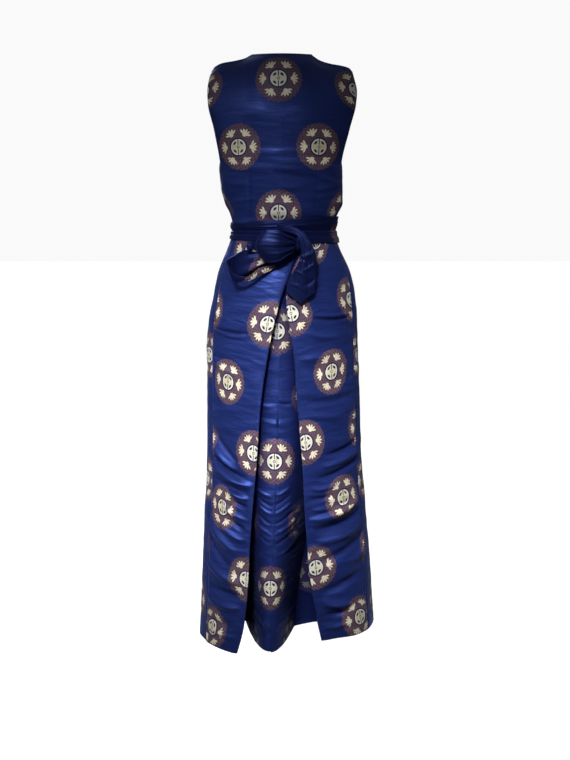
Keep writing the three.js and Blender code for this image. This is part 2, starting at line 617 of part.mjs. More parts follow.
function makeBand() {
  const face = BAND_ROWS.map((fold) =>
    Array.from({ length: BAND_COLUMNS }, (_, j) => {
      const turn = 180 - (360 * (j + 0.5)) / BAND_COLUMNS;
      const angle = turn * DEGREE;
      const z = lerp(roundHeight(BAND_TOP, angle), roundHeight(BAND_FOOT, angle), fold.across);
      const x = waistPoint(z, turn, 0).x;
      const near = smooth(PLEAT_ROOM.far, PLEAT_ROOM.near, Math.abs(x - PLEAT_ROOM.middle));
      const room = Math.abs(turn) < 90 ? PLEAT_ROOM.out * near : 0;
      return waistPoint(z, turn, BAND_CLEAR + room + fold.out);
    }),
  );
  const inwardAt = (p) => new THREE.Vector3(-p.x, -p.y * BAND_DEPTH_WEIGHT, 0).normalize();
  const inward = face.map((row) => row.map(inwardAt));
  return wall("sash_band", face, inward, { ring: true, color: SHADED_BLUE });
}

// The bow's strips. Each row gives the strip's two edges, a and b, how far its middle stands out, and
// its gathers.
const UPPER_LOOP_ROWS = [
  { step: 0, ax: -28.4, ay: 103.6, az: -420, bx: -29.2, by: 103, bz: -446, puff: 0, gather: 1.6 },
  { step: 1, ax: 4, ay: 107, az: -408, bx: 4, by: 108, bz: -464, puff: -1, gather: 1.2 },
  { step: 2, ax: 30, ay: 107, az: -402, bx: 30, by: 109, bz: -472, puff: 0, gather: 0.3 },
  { step: 3, ax: 44, ay: 115, az: -402, bx: 41, by: 117, bz: -472, puff: 17, gather: 0 },
  { step: 4, ax: 33, ay: 125, az: -399, bx: 29, by: 128, bz: -476, puff: 9, gather: 0.3 },
  { step: 5, ax: 10, ay: 128, az: -400, bx: 9, by: 131, bz: -473, puff: 6, gather: 1.0 },
  { step: 6, ax: -12, ay: 123, az: -411, bx: -12, by: 124, bz: -459, puff: 2, gather: 2.0 },
  { step: 7, ax: -28, ay: 115, az: -418, bx: -28, by: 115, bz: -450, puff: 0, gather: 2.4 },
];
const LOWER_LOOP_ROWS = [
  { step: 0, ax: -28.8, ay: 95, az: -440, bx: -29.4, by: 96, bz: -447, puff: 0, gather: 0.4 },
  { step: 1, ax: 20, ay: 96, az: -448, bx: 20, by: 101, bz: -470, puff: 0, gather: 0.8 },
  { step: 2, ax: 58, ay: 96, az: -452, bx: 58, by: 102, bz: -486, puff: 0, gather: 0.8 },
  { step: 3, ax: 84, ay: 97, az: -447, bx: 84, by: 98, bz: -502, puff: 0, gather: 0.4 },
  { step: 4, ax: 109, ay: 101, az: -459, bx: 104, by: 96, bz: -510, puff: 0, gather: 0 },
  { step: 5, ax: 128, ay: 111, az: -472, bx: 116, by: 105, bz: -514, puff: 2, gather: 0 },
  { step: 6, ax: 122, ay: 119, az: -484, bx: 114, by: 114, bz: -517, puff: 2, gather: 0 },
  { step: 7, ax: 104, ay: 122, az: -503, bx: 101, by: 117, bz: -520, puff: 1, gather: 0 },
  { step: 8, ax: 81, ay: 122, az: -507, bx: 82, by: 118, bz: -519, puff: 1, gather: 0 },
  { step: 9, ax: 51, ay: 121, az: -487, bx: 50, by: 117, bz: -504, puff: 1, gather: 0.3 },
  { step: 10, ax: 23, ay: 117, az: -480, bx: 20, by: 113, bz: -490, puff: 0, gather: 0.4 },
  { step: 11, ax: -31, ay: 104, az: -450, bx: -31, by: 101, bz: -455, puff: 0, gather: 0.4 },
];
const SMALL_LOOP_ROWS = [
  { step: 0, ax: 32, ay: 102, az: -428, bx: 32, by: 102.4, bz: -444, puff: 0, gather: 0 },
  { step: 1, ax: 57, ay: 100.8, az: -427, bx: 57, by: 101.4, bz: -447, puff: 0, gather: 0 },
  { step: 2, ax: 80, ay: 106, az: -430, bx: 78, by: 107, bz: -450, puff: 3, gather: 0 },
  { step: 3, ax: 69, ay: 112, az: -431, bx: 68, by: 112, bz: -444, puff: 0, gather: 0 },
];
const TAIL_ROWS = [
  { step: 0, ax: 11, ay: 83.6, az: -388, bx: 12, by: 83.8, bz: -399, puff: 0, gather: 0.4 },
  { step: 1, ax: -16, ay: 92, az: -391, bx: -11, by: 100, bz: -407, puff: 3, gather: 1.2 },
  { step: 2, ax: -42, ay: 98, az: -402, bx: -32, by: 113, bz: -412, puff: 3, gather: 1.6 },
  { step: 3, ax: -58, ay: 102, az: -417, bx: -41, by: 118, bz: -426, puff: 4, gather: 2.0 },
  { step: 4, ax: -71, ay: 106, az: -438, bx: -44, by: 121, bz: -452, puff: 5, gather: 2.4 },
  { step: 5, ax: -78, ay: 110, az: -461, bx: -34, by: 122, bz: -472, puff: 5, gather: 3.0 },
  { step: 6, ax: -78, ay: 113, az: -485, bx: -24, by: 122, bz: -492, puff: 4, gather: 3.4 },
  { step: 7, ax: -78, ay: 116, az: -513, bx: -16, by: 123, bz: -517, puff: 3, gather: 3.4 },
  { step: 8, ax: -75, ay: 118, az: -543, bx: -9, by: 123, bz: -543, puff: 3, gather: 2.6 },
];
const TAIL_POINT = 27; // the tail's end is cut to a point
const POINT_STEPS = 2; // rows of its table over which the point forms
const STEP_ASIDE = 0.1; // between the two places that give a strip's direction
const TRUE_SQUARE = 0.8; // share of a wall's direction that follows its gathers

function stripWall(name, table, { rows, columns, waves, point = 0 }) {
  const at = curvesThrough(table, "step");
  const last = table.length - 1;
  const edges = (step) => {
    const row = at(Math.min(last, Math.max(0, step)));
    return [new THREE.Vector3(row.ax, row.ay, row.az), new THREE.Vector3(row.bx, row.by, row.bz), row];
  };
  const outAt = (step) => {
    const [a, b] = edges(step);
    const [before, after] = [edges(step - STEP_ASIDE), edges(step + STEP_ASIDE)];
    const along = after[0].clone().add(after[1]).sub(before[0]).sub(before[1]);
    return b.clone().sub(a).cross(along).normalize();
  };
  const face = grid(rows, columns, (v, u) => {
    const step = v * last;
    const [a, b, row] = edges(step);
    const lift = row.puff * Math.sin(Math.PI * u) + row.gather * Math.sin(2 * Math.PI * waves * u);
    const p = a.clone().lerp(b, u).addScaledVector(outAt(step), lift);
    p.z -= point * (1 - Math.abs(2 * u - 1)) * smooth(last - POINT_STEPS, last, step);
    return p;
  });
  const inward = grid(rows, columns, (v) => outAt(v * last).negate());
  const square = squareTo(face, (p) => p.clone());
  face.forEach((row, i) =>
    row.forEach((_, j) => {
      if (square[i][j].dot(inward[i][j]) < 0) square[i][j].negate();
      inward[i][j].lerp(square[i][j], TRUE_SQUARE).normalize();
    }),
  );
  return wall(name, face, inward);
}

const LOOP_CUTS = { rows: 22, columns: 8, waves: 3 };
const makeUpperLoop = () => stripWall("sash_loop_upper", UPPER_LOOP_ROWS, LOOP_CUTS);
const makeLowerLoop = () =>
  stripWall("sash_loop_lower", LOWER_LOOP_ROWS, { rows: 28, columns: 5, waves: 2 });
const makeSmallLoop = () =>
  stripWall("sash_loop_small", SMALL_LOOP_ROWS, { rows: 10, columns: 3, waves: 1 });
const makeTail = () =>
  stripWall("sash_tail", TAIL_ROWS, { rows: 20, columns: 10, waves: 2.5, point: TAIL_POINT });

// The knot is a tight wad of the sash, seamed by its turns.
const KNOT = { x: -37.5, y: 98.2, z: -432, halfX: 9.4, halfY: 12.5, halfZ: 21, turns: 5, groove: 0.05 };
const KNOT_CUTS = { columns: 14, rows: 10 };

function makeKnot() {
  const ball = new THREE.SphereGeometry(1, KNOT_CUTS.columns, KNOT_CUTS.rows);
  ball.deleteAttribute("normal");
  ball.deleteAttribute("uv");
  const positions = [];
  const p = new THREE.Vector3();
  for (let k = 0; k < ball.attributes.position.count; k++) {
    p.fromBufferAttribute(ball.attributes.position, k);
    const groove = 1 - KNOT.groove * Math.cos(KNOT.turns * Math.atan2(p.z, p.y));
    positions.push(
      KNOT.x + KNOT.halfX * p.x,
      KNOT.y + KNOT.halfY * p.y * groove,
      KNOT.z + KNOT.halfZ * p.z * groove,
    );
  }
  return named("sash_knot", facingOut(positions, [...ball.index.array]));
}

const robe = new THREE.Group();
robe.add(
  makeBodiceBack(),
  makeBodiceFrontOuter(),
  makeBodiceFrontInner(),
  makeSkirtBack("skirt_back_left", true),
  makeSkirtBack("skirt_back_right", false),
  makeSkirtFrontOuter(),
  makeSkirtFrontInner(),
  makeBand(),
  makeUpperLoop(),
  makeLowerLoop(),
  makeSmallLoop(),
  makeTail(),
  makeKnot(),
);

export default robe;
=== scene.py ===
# A worn brocade wrap robe seen from behind: a sleeveless bodice, a skirt with a deep inverted pleat,
# and a sash tied in a bow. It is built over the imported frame, in metres, in the order of its making.
import math
from types import SimpleNamespace

import bpy
import numpy as np
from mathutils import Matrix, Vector, noise


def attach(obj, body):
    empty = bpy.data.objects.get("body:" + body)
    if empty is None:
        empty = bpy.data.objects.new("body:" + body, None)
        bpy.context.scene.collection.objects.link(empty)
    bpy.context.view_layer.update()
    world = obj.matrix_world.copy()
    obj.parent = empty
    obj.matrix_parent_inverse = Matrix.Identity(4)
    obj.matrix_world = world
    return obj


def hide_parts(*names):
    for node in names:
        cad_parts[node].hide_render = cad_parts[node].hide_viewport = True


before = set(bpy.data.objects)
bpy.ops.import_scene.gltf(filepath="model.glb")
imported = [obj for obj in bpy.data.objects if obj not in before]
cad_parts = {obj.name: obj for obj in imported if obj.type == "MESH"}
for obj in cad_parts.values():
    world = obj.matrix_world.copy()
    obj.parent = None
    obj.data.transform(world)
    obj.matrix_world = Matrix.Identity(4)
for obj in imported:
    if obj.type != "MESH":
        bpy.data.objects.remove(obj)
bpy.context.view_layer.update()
bpy.ops.object.select_all(action="DESELECT")

# The camera
# It stands behind the robe, a little above its middle, and looks slightly down.
CAMERA_PLACE = (-0.007, 2.7, -0.325)
CAMERA_PITCH = 9.3  # degrees below level
CAMERA_LENS = 53.15
bpy.ops.object.camera_add(
    location=CAMERA_PLACE, rotation=(math.radians(90 - CAMERA_PITCH), 0, math.radians(180))
)
camera = bpy.context.object
camera.data.lens = CAMERA_LENS
camera.data.sensor_width = 36
camera.data.sensor_fit = "AUTO"
bpy.context.scene.camera = camera

# The brocade
# Silk satin with woven roundels, each a ring of scrollwork with six lotus palmettes round a coin. The
# roundels stand in columns, each column half a repeat below its neighbours. Its pattern follows the
# map "cloth" of each piece, in metres, where a roundel's middle lies at the origin.
ROUNDEL = 0.0555  # radius
COLUMN = 0.095
REPEAT = 0.306
SATIN = (0.0130, 0.0270, 0.140, 1)
SATIN_DEEP = (0.0045, 0.0085, 0.060, 1)
NAVY = (0.0030, 0.0045, 0.030, 1)
SCROLL = (0.085, 0.046, 0.050, 1)
SCROLL_DEEP = (0.072, 0.040, 0.058, 1)
CREAM = (0.52, 0.48, 0.35, 1)
COIN_WHITE = (0.52, 0.51, 0.43, 1)
COIN_BEIGE = (0.36, 0.32, 0.20, 1)
PALMETTE = dict(base=0.55, tall=0.29, wide=0.31, petals=5, notch=0.16)
COIN, COIN_RIM, COIN_WELL = 0.345, 0.028, 0.405  # in shares of the roundel's radius, as the rest is
RING = dict(edge=0.985, scallops=34, scallop=0.012, edging=0.93, beads=68)
SLOT = dict(x=0.150, y=0.170, length=0.105, width=0.054)
BAR = dict(half=0.026, start=0.085)
EYE = dict(outer=0.068, inner=0.028)
ROUGHNESS = dict(satin=0.42, woven=0.62)
METAL = dict(satin=0.45, woven=0.15)
HIGHLIGHT = (0.35, 0.5, 1.0, 1)
SHEEN = dict(amount=0.04, tint=(0.3, 0.4, 1.0, 1))
SHADE = dict(reach=0.16, power=1.9)  # how far the painted shade in folds reaches, and how steeply it deepens
THREAD = dict(waves=9000, slant=0.35, depth=0.000010)
SLUB = dict(along=60, across=900, depth=0.000045)
RAISED = dict(weave=0.00010, figure=0.00016)


class Formula:
    """Adds math nodes to a shader tree, so that a formula can be written as calls."""

    def __init__(self, tree):
        self.tree = tree

    def link(self, value, socket):
        if isinstance(value, bpy.types.NodeSocket):
            self.tree.links.new(value, socket)
        else:
            socket.default_value = value

    def math(self, operation, *values, clamp=False):
        node = self.tree.nodes.new("ShaderNodeMath")
        node.operation = operation
        node.use_clamp = clamp
        for value, socket in zip(values, node.inputs):
            self.link(value, socket)
        return node.outputs[0]

    def add(self, a, b):
        return self.math("ADD", a, b)

    def times(self, a, b):
        return self.math("MULTIPLY", a, b)

    def less(self, a, b):
        return self.math("SUBTRACT", a, b)

    def wrap(self, value, half):
        return self.math("WRAP", value, half, -half)

    def length(self, a, b):
        return self.math("SQRT", self.add(self.times(a, a), self.times(b, b)))

    def within(self, value, edge, soft):
        """1 where value is under edge, 0 over it, with a soft step between."""
        return self.math("DIVIDE", self.less(edge, value), soft, clamp=True)

    def mix(self, share, a, b):
        node = self.tree.nodes.new("ShaderNodeMix")
        node.data_type = "RGBA"
        self.link(share, node.inputs[0])
        self.link(a, node.inputs[6])
        self.link(b, node.inputs[7])
        return node.outputs[2]

    def pick(self, share, a, b):
        node = self.tree.nodes.new("ShaderNodeMix")
        self.link(share, node.inputs[0])
        self.link(a, node.inputs[2])
        self.link(b, node.inputs[3])
        return node.outputs[0]

    def node(self, kind, output=0, settings=None, **inputs):
        node = self.tree.nodes.new(kind)
        for name, value in (settings or {}).items():
            setattr(node, name, value)
        for name, value in inputs.items():
            self.link(value, node.inputs[name])
        return node.outputs[output]


def shader_group(name, inputs, outputs):
    tree = bpy.data.node_groups.new(name, "ShaderNodeTree")
    for direction, sockets in (("INPUT", inputs), ("OUTPUT", outputs)):
        for socket, kind in sockets.items():
            tree.interface.new_socket(socket, in_out=direction, socket_type=kind)
    return tree, tree.nodes.new("NodeGroupInput").outputs, tree.nodes.new("NodeGroupOutput").inputs


def weave_group():
    """The satin's own surface: fine threads, slubs along the weft and slow changes of tone."""
    tree, given, out = shader_group(
        "Satin weave",
        {"Cloth": "NodeSocketVector"},
        {"Tone": "NodeSocketFloat", "Height": "NodeSocketFloat"},
    )
    f = Formula(tree)
    apart = tree.nodes.new("ShaderNodeSeparateXYZ")
    f.link(given["Cloth"], apart.inputs[0])
    u, v = apart.outputs[0], apart.outputs[1]
    weft = tree.nodes.new("ShaderNodeCombineXYZ")
    f.link(f.times(u, SLUB["along"]), weft.inputs[0])
    f.link(f.times(v, SLUB["across"]), weft.inputs[1])
    slubs = f.node("ShaderNodeTexNoise", Vector=weft.outputs[0], Scale=1.0, Detail=2.0)
    slow = f.node("ShaderNodeTexNoise", Vector=given["Cloth"], Scale=14.0, Detail=2.0)
    tone = f.add(f.times(slubs, 0.45), f.times(slow, 0.55))
    threads = f.math("SINE", f.times(f.add(v, f.times(u, THREAD["slant"])), THREAD["waves"]))
    height = f.add(f.times(threads, THREAD["depth"]), f.times(slubs, SLUB["depth"]))
    f.link(tone, out["Tone"])
    f.link(height, out["Height"])
    return tree


def roundel_group(weave):
    """The woven pattern over the satin."""
    tree, given, out = shader_group(
        "Brocade",
        {"Cloth": "NodeSocketVector", "Satin": "NodeSocketColor", "Shade": "NodeSocketColor"},
        {"Color": "NodeSocketColor", "Roughness": "NodeSocketFloat", "Height": "NodeSocketFloat"},
    )
    f = Formula(tree)
    apart = tree.nodes.new("ShaderNodeSeparateXYZ")
    f.link(given["Cloth"], apart.inputs[0])
    u, v = apart.outputs[0], apart.outputs[1]

    # Every other column is a lattice of its own, and the nearer roundel of the two counts.
    even = f.wrap(u, COLUMN), f.wrap(v, REPEAT / 2)
    odd = f.wrap(f.add(u, COLUMN), COLUMN), f.wrap(f.add(v, REPEAT / 2), REPEAT / 2)
    in_odd = f.math("LESS_THAN", f.length(*odd), f.length(*even))
    x = f.times(f.pick(in_odd, even[0], odd[0]), 1 / ROUNDEL)
    y = f.times(f.pick(in_odd, even[1], odd[1]), 1 / ROUNDEL)
    out_from = f.length(x, y)
    angle = f.math("ARCTAN2", y, x)

    # The scalloped ring, with thin scrolls of the ground showing through
    scallops = f.times(f.math("COSINE", f.times(angle, RING["scallops"])), RING["scallop"])
    ring = f.within(f.add(out_from, scallops), RING["edge"], 0.02)
    curls = f.node("ShaderNodeTexNoise", Vector=given["Cloth"], Scale=310.0, Detail=1.5)
    spokes = f.math("SINE", f.add(f.times(angle, 26), f.times(out_from, 9)))
    holes = f.times(spokes, f.math("SINE", f.times(out_from, 44)))
    scroll_lines = f.within(f.add(holes, f.times(f.less(curls, 0.5), 2.2)), -0.28, 0.35)
    edging = f.within(f.math("ABSOLUTE", f.less(out_from, RING["edging"])), 0.018, 0.02)
    beads = f.within(f.math("SINE", f.times(angle, RING["beads"])), 0.2, 0.5)
    open_work = f.math("MAXIMUM", f.times(scroll_lines, 0.75), f.times(edging, f.times(beads, 0.7)))

    # Six palmettes, each a fan of petals that opens outward from a small calyx
    sector = f.wrap(angle, math.pi / 6)
    ahead = f.less(f.times(out_from, f.math("COSINE", sector)), PALMETTE["base"])
    aside = f.times(f.math("SINE", sector), out_from)
    fan_x = f.times(ahead, 1 / PALMETTE["tall"])
    fan_y = f.times(aside, 1 / PALMETTE["wide"])
    reach = f.length(fan_x, fan_y)
    fan_angle = f.math("ARCTAN2", fan_y, fan_x)
    lobes = f.math("COSINE", f.times(fan_angle, 2.4 * PALMETTE["petals"]))
    tips = f.add(1 - PALMETTE["notch"], f.times(lobes, PALMETTE["notch"]))
    fan = f.within(f.math("DIVIDE", reach, tips), 1.0, 0.1)
    fan = f.times(fan, f.within(f.math("ABSOLUTE", fan_angle), 1.34, 0.1))
    gaps = f.times(f.within(lobes, -0.72, 0.25), f.within(f.less(0.36, reach), 0.0, 0.1))
    fan = f.times(fan, f.less(1.0, gaps))
    calyx = f.within(f.length(f.times(f.add(ahead, 0.01), 26), f.times(aside, 11)), 1.0, 0.25)
    palmette = f.math("MAXIMUM", fan, calyx)

    # The coin, with its rim, an upright bar, four slots and a small eye
    well = f.within(out_from, COIN_WELL, 0.02)
    coin = f.within(out_from, COIN, 0.02)
    rim = f.within(f.math("ABSOLUTE", f.less(out_from, COIN - COIN_RIM)), COIN_RIM, 0.015)
    across, up = f.math("ABSOLUTE", x), f.math("ABSOLUTE", y)
    bar = f.times(f.within(across, BAR["half"], 0.012), f.within(f.less(BAR["start"], up), 0.0, 0.02))
    slot_x, slot_y = f.less(across, SLOT["x"]), f.less(up, SLOT["y"])
    slot_long = f.times(f.less(slot_x, slot_y), math.sqrt(0.5) / SLOT["length"])
    slot_wide = f.times(f.add(slot_x, slot_y), math.sqrt(0.5) / SLOT["width"])
    slots = f.within(f.length(slot_long, slot_wide), 1.0, 0.3)
    eye = f.within(f.less(EYE["inner"], out_from), 0.0, 0.012)
    eye = f.times(f.within(out_from, EYE["outer"], 0.015), eye)
    marks = f.math("MAXIMUM", f.math("MAXIMUM", bar, slots), eye)
    coin_threads = f.node("ShaderNodeTexNoise", Vector=given["Cloth"], Scale=420.0, Detail=2.0)

    # The colours, from the ground up
    surface = tree.nodes.new("ShaderNodeGroup")
    surface.node_tree = weave
    f.link(given["Cloth"], surface.inputs[0])
    tone, thread_height = surface.outputs["Tone"], surface.outputs["Height"]
    color = f.mix(tone, given["Shade"], given["Satin"])
    scroll = f.mix(f.times(tone, 0.8), SCROLL, SCROLL_DEEP)
    scroll = f.mix(open_work, scroll, NAVY)
    color = f.mix(ring, color, scroll)
    color = f.mix(f.times(ring, palmette), color, CREAM)
    color = f.mix(well, color, NAVY)
    face = f.mix(f.times(coin_threads, f.pick(in_odd, 0.7, 1.5)), COIN_WHITE, COIN_BEIGE)
    face = f.mix(rim, face, COIN_WHITE)
    face = f.mix(marks, face, NAVY)
    color = f.mix(coin, color, face)
    woven = f.math("MAXIMUM", f.times(ring, f.less(1.0, f.times(open_work, 0.6))), coin)
    raised = f.math("MAXIMUM", f.times(ring, palmette), f.times(coin, f.less(1.0, marks)))
    height = f.add(f.times(woven, RAISED["weave"]), f.times(raised, RAISED["figure"]))
    f.link(color, out["Color"])
    f.link(f.pick(woven, ROUGHNESS["satin"], ROUGHNESS["woven"]), out["Roughness"])
    f.link(f.add(height, thread_height), out["Height"])
    return tree


def cloth_material(name, satin, shade, wrinkle, gleam=0.42):
    """Brocade with the given satin colour and painted shade in its folds. wrinkle is the depth in metres of
    its fine wrinkles, gleam its shine.
    """
    material = bpy.data.materials.new(name)
    material.use_nodes = True
    tree = material.node_tree
    f = Formula(tree)
    shader = tree.nodes["Principled BSDF"]
    cloth = f.node("ShaderNodeUVMap", settings=dict(uv_map="cloth"))
    group = tree.nodes.new("ShaderNodeGroup")
    group.node_tree = brocade
    f.link(cloth, group.inputs["Cloth"])
    group.inputs["Satin"].default_value = satin
    group.inputs["Shade"].default_value = shade
    stretched = f.node("ShaderNodeMapping", Vector=cloth, Scale=(1.0, 3.2, 1.0))
    wrinkles = f.node("ShaderNodeTexNoise", Vector=stretched, Scale=11.0, Detail=3.0, Roughness=0.45)
    narrow = f.node("ShaderNodeMapping", Vector=cloth, Scale=(1.0, 4.5, 1.0), Rotation=(0, 0, 0.12))
    fine = f.node("ShaderNodeTexNoise", Vector=narrow, Scale=22.0, Detail=3.0, Roughness=0.45)
    folded = f.add(f.times(wrinkles, wrinkle), f.times(fine, wrinkle * 0.45))
    height = f.add(group.outputs["Height"], folded)
    bump = f.node("ShaderNodeBump", Height=height, Distance=1.0, Strength=1.0)
    # Painted shade: an occlusion node mixes the colour towards navy in deep folds and dims the shine there
    open_sky = f.node(
        "ShaderNodeAmbientOcclusion", output=1, settings=dict(samples=8), Distance=SHADE["reach"]
    )
    depth = f.math("POWER", open_sky, SHADE["power"])
    painted_shade_color = f.mix(depth, NAVY, group.outputs["Color"])
    f.link(painted_shade_color, shader.inputs["Base Color"])
    f.link(f.times(depth, gleam), shader.inputs["Specular IOR Level"])
    f.link(group.outputs["Roughness"], shader.inputs["Roughness"])
    f.link(bump, shader.inputs["Normal"])
    rise = 1 / (ROUGHNESS["woven"] - ROUGHNESS["satin"])
    woven = f.times(f.less(group.outputs["Roughness"], ROUGHNESS["satin"]), rise)
    f.link(f.pick(woven, METAL["satin"], METAL["woven"]), shader.inputs["Metallic"])
    shader.inputs["Specular Tint"].default_value = HIGHLIGHT
    shader.inputs["Sheen Weight"].default_value = SHEEN["amount"]
    shader.inputs["Sheen Tint"].default_value = SHEEN["tint"]
    return material


brocade = roundel_group(weave_group())
robe_brocade = cloth_material("Robe brocade", SATIN, SATIN_DEEP, wrinkle=0.0038)
smooth_brocade = cloth_material("Smooth robe brocade", SATIN, SATIN_DEEP, wrinkle=0.0019)

# The lining
# A plain dark cotton sateen, cut as the brocade is and sewn to its inside. It shows at the neck, the
# armholes and inside the skirt.
LINING_DEEP, LINING_PALE = (0.010, 0.013, 0.035, 1), (0.022, 0.028, 0.070, 1)
lining = bpy.data.materials.new("Lining")
lining.use_nodes = True
lining_formula = Formula(lining.node_tree)
lining_map = lining_formula.node("ShaderNodeUVMap", settings=dict(uv_map="cloth"))
lining_weave = lining.node_tree.nodes.new("ShaderNodeGroup")
lining_weave.node_tree = bpy.data.node_groups["Satin weave"]
lining_formula.link(lining_map, lining_weave.inputs[0])
lining_shader = lining.node_tree.nodes["Principled BSDF"]
lining_color = lining_formula.mix(lining_weave.outputs["Tone"], LINING_DEEP, LINING_PALE)
lining_formula.link(lining_color, lining_shader.inputs["Base Color"])
lining_bump = lining_formula.node(
    "ShaderNodeBump", Height=lining_weave.outputs["Height"], Distance=1.0, Strength=1.0
)
lining_formula.link(lining_bump, lining_shader.inputs["Normal"])
lining_shader.inputs["Roughness"].default_value = 0.7

# The bodice back
# One piece of brocade cut to the waist, with a fish-eye dart at each side and a pressed line down its
# middle. It is sewn to the fronts at the shoulders and sides, and its tables are in millimetres.
MM = 0.001
CLOTH = 1.5  # the thickness of brocade with its lining
SEAM_GAP = 0.3
DEGREE = math.pi / 180
WAIST_Z = -410
NECK_HALF = 70
NECK_Y = 8
BACK_NECK_REACH, BACK_NECK_FALL = 38, 2
TOP_FADE = 0.42
HALF_RING = 190  # the longest way from the middle to a side seam
BACK_COLUMNS, BODICE_LINES = 96, 112
# Rows: how far down, the left and right ends of the arc, its ends' Y and Z, its middle's Y and Z, and
# the degrees from the middle to an end
BACK_ROWS = [
    (0.0, 165, 165, -6, -36, 40, 4, 25),
    (0.1, 170, 169, 12, -56, 62, -20, 30),
    (0.2, 173, 174, 28, -84, 76, -56, 36),
    (0.32, 171, 171, 39, -118, 86, -100, 46),
    (0.46, 158, 157, 42, -172, 91, -164, 58),
    (0.62, 144, 139, 24, -258, 89, -258, 76),
    (0.72, 141, 140, 23, -300, 83, -300, 75),
    (0.82, 130, 139, 24, -340, 76, -340, 73),
    (0.89, 118, 128, 25, -366, 73, -366, 72),
    (0.94, 112, 120, 24, -386, 68, -386, 71),
    (1.0, 110, 118, 23, -410, 68, -410, 70),
]
# Rows: X, Y, and Z at the left and the right shoulder
SHOULDER_ROWS = [
    (70, 8, 0, -2),
    (88, 6, -9, -13),
    (112, 2, -14, -20),
    (138, -2, -18, -24),
    (156, -5, -26, -29),
    (165, -6, -37, -38),
]


def lerp(a, b, share):
    return a + (b - a) * share


def clamp01(x):
    return min(1.0, max(0.0, x))


def smooth(start, end, x):
    share = clamp01((x - start) / (end - start))
    return share * share * (3 - 2 * share)


def curves_through(names, rows):
    """Reads a table as smooth curves that don't overshoot. Its first column is the key."""
    table = np.array(rows, float)
    keys = table[:, 0]
    chords = np.diff(table, axis=0) / np.diff(keys)[:, None]
    slopes = np.vstack([chords[:1], chords[1:], chords[-1:]])
    before, after = chords[:-1], chords[1:]
    bends = before * after > 0
    slopes[1:-1] = np.where(bends, 2 * before * after / np.where(bends, before + after, 1), 0)
    rising = keys[1] > keys[0]
    names = names.split()
    kept = {}

    def at(key):
        if key in kept:
            return SimpleNamespace(**kept[key])
        i = 0
        while i < len(keys) - 2 and (key > keys[i + 1] if rising else key < keys[i + 1]):
            i += 1
        span = keys[i + 1] - keys[i]
        s = clamp01((key - keys[i]) / span)
        rise = table[i + 1] - table[i]
        start, end = slopes[i] * span, slopes[i + 1] * span
        found = table[i] + start * s + (3 * rise - 2 * start - end) * s**2
        found = found + (start + end - 2 * rise) * s**3
        kept[key] = dict(zip(names, found.tolist()))
        return SimpleNamespace(**kept[key])

    return at


ARC = "down left right edge_y edge_z mid_y mid_z spread"
back_row = curves_through(ARC, BACK_ROWS)
shoulder_row = curves_through("x y left right", SHOULDER_ROWS)


def arc_point(row, across):
    """A point of one arc across the body, from 1 at the wearer's left edge to -1 at the right."""
    half = row.spread * DEGREE
    turn = across * half
    edge = row.left if across >= 0 else row.right
    share = (math.cos(turn) - math.cos(half)) / (1 - math.cos(half))
    return Vector(
        (
            edge * math.sin(turn) / math.sin(half),
            lerp(row.edge_y, row.mid_y, share),
            lerp(row.edge_z, row.mid_z, share),
        )
    )


def top_line(across, reach, fall):
    """The shoulder seam, and between its ends the neck edge."""
    x = SHOULDER_ROWS[-1][0] * across
    if abs(x) >= NECK_HALF:
        seam = shoulder_row(abs(x))
        return Vector((x, seam.y, seam.left if x > 0 else seam.right))
    share = 1 - (abs(x) / NECK_HALF) ** 2
    return Vector((x, NECK_Y + reach * share, -fall * share))


def bodice_point(row_at, down, across, reach, fall):
    p = arc_point(row_at(down), across)
    pull = (1 - smooth(0, TOP_FADE, down)) * (1 - down)
    return p + (top_line(across, reach, fall) - arc_point(row_at(0), across)) * pull


def off_seam(across):
    return math.copysign(min(abs(across), 1 - SEAM_GAP / 2 / HALF_RING), across)


def square_out(grid, middle=None):
    """Unit directions square to a grid of points, away from the middle where one is given."""
    down = np.gradient(grid, axis=0)
    across = np.gradient(grid, axis=1)
    out = np.cross(down, across)
    out /= np.linalg.norm(out, axis=2, keepdims=True) + 1e-12
    if middle is not None:
        away = np.sum(out * (grid - middle), axis=2, keepdims=True)
        out *= np.where(away < 0, -1, 1)
    return out


def creases(x, z, table):
    """How far soft creases stand out at places x and z. A row is a crease from one place to another,
    how far its middle sags, its width and its height, negative for a trough."""
    total = np.zeros_like(x)
    for x0, z0, x1, z1, sag, width, height in table:
        length = math.hypot(x1 - x0, z1 - z0)
        ax, az = (x1 - x0) / length, (z1 - z0) / length
        along = ((x - x0) * ax + (z - z0) * az) / length
        aside = (x - x0) * -az + (z - z0) * ax
        drop = -np.sign(ax or 1) * sag * 4 * along * (1 - along)
        t = (aside - drop) / width
        fade = np.clip(1 - (2 * along - 1) ** 2, 0, 1) ** 0.8
        total += height * fade * np.exp(-t * t) * (1 - 0.55 * t)
    return total


def ripples(grid, size, height, seed):
    """Uneven shallow undulation, wider than it is tall."""
    wide, tall = size
    values = [
        noise.noise(Vector((p[0] / wide + seed, p[1] / wide, p[2] / tall)))
        for p in grid.reshape(-1, 3)
    ]
    return height * np.array(values).reshape(grid.shape[:2])


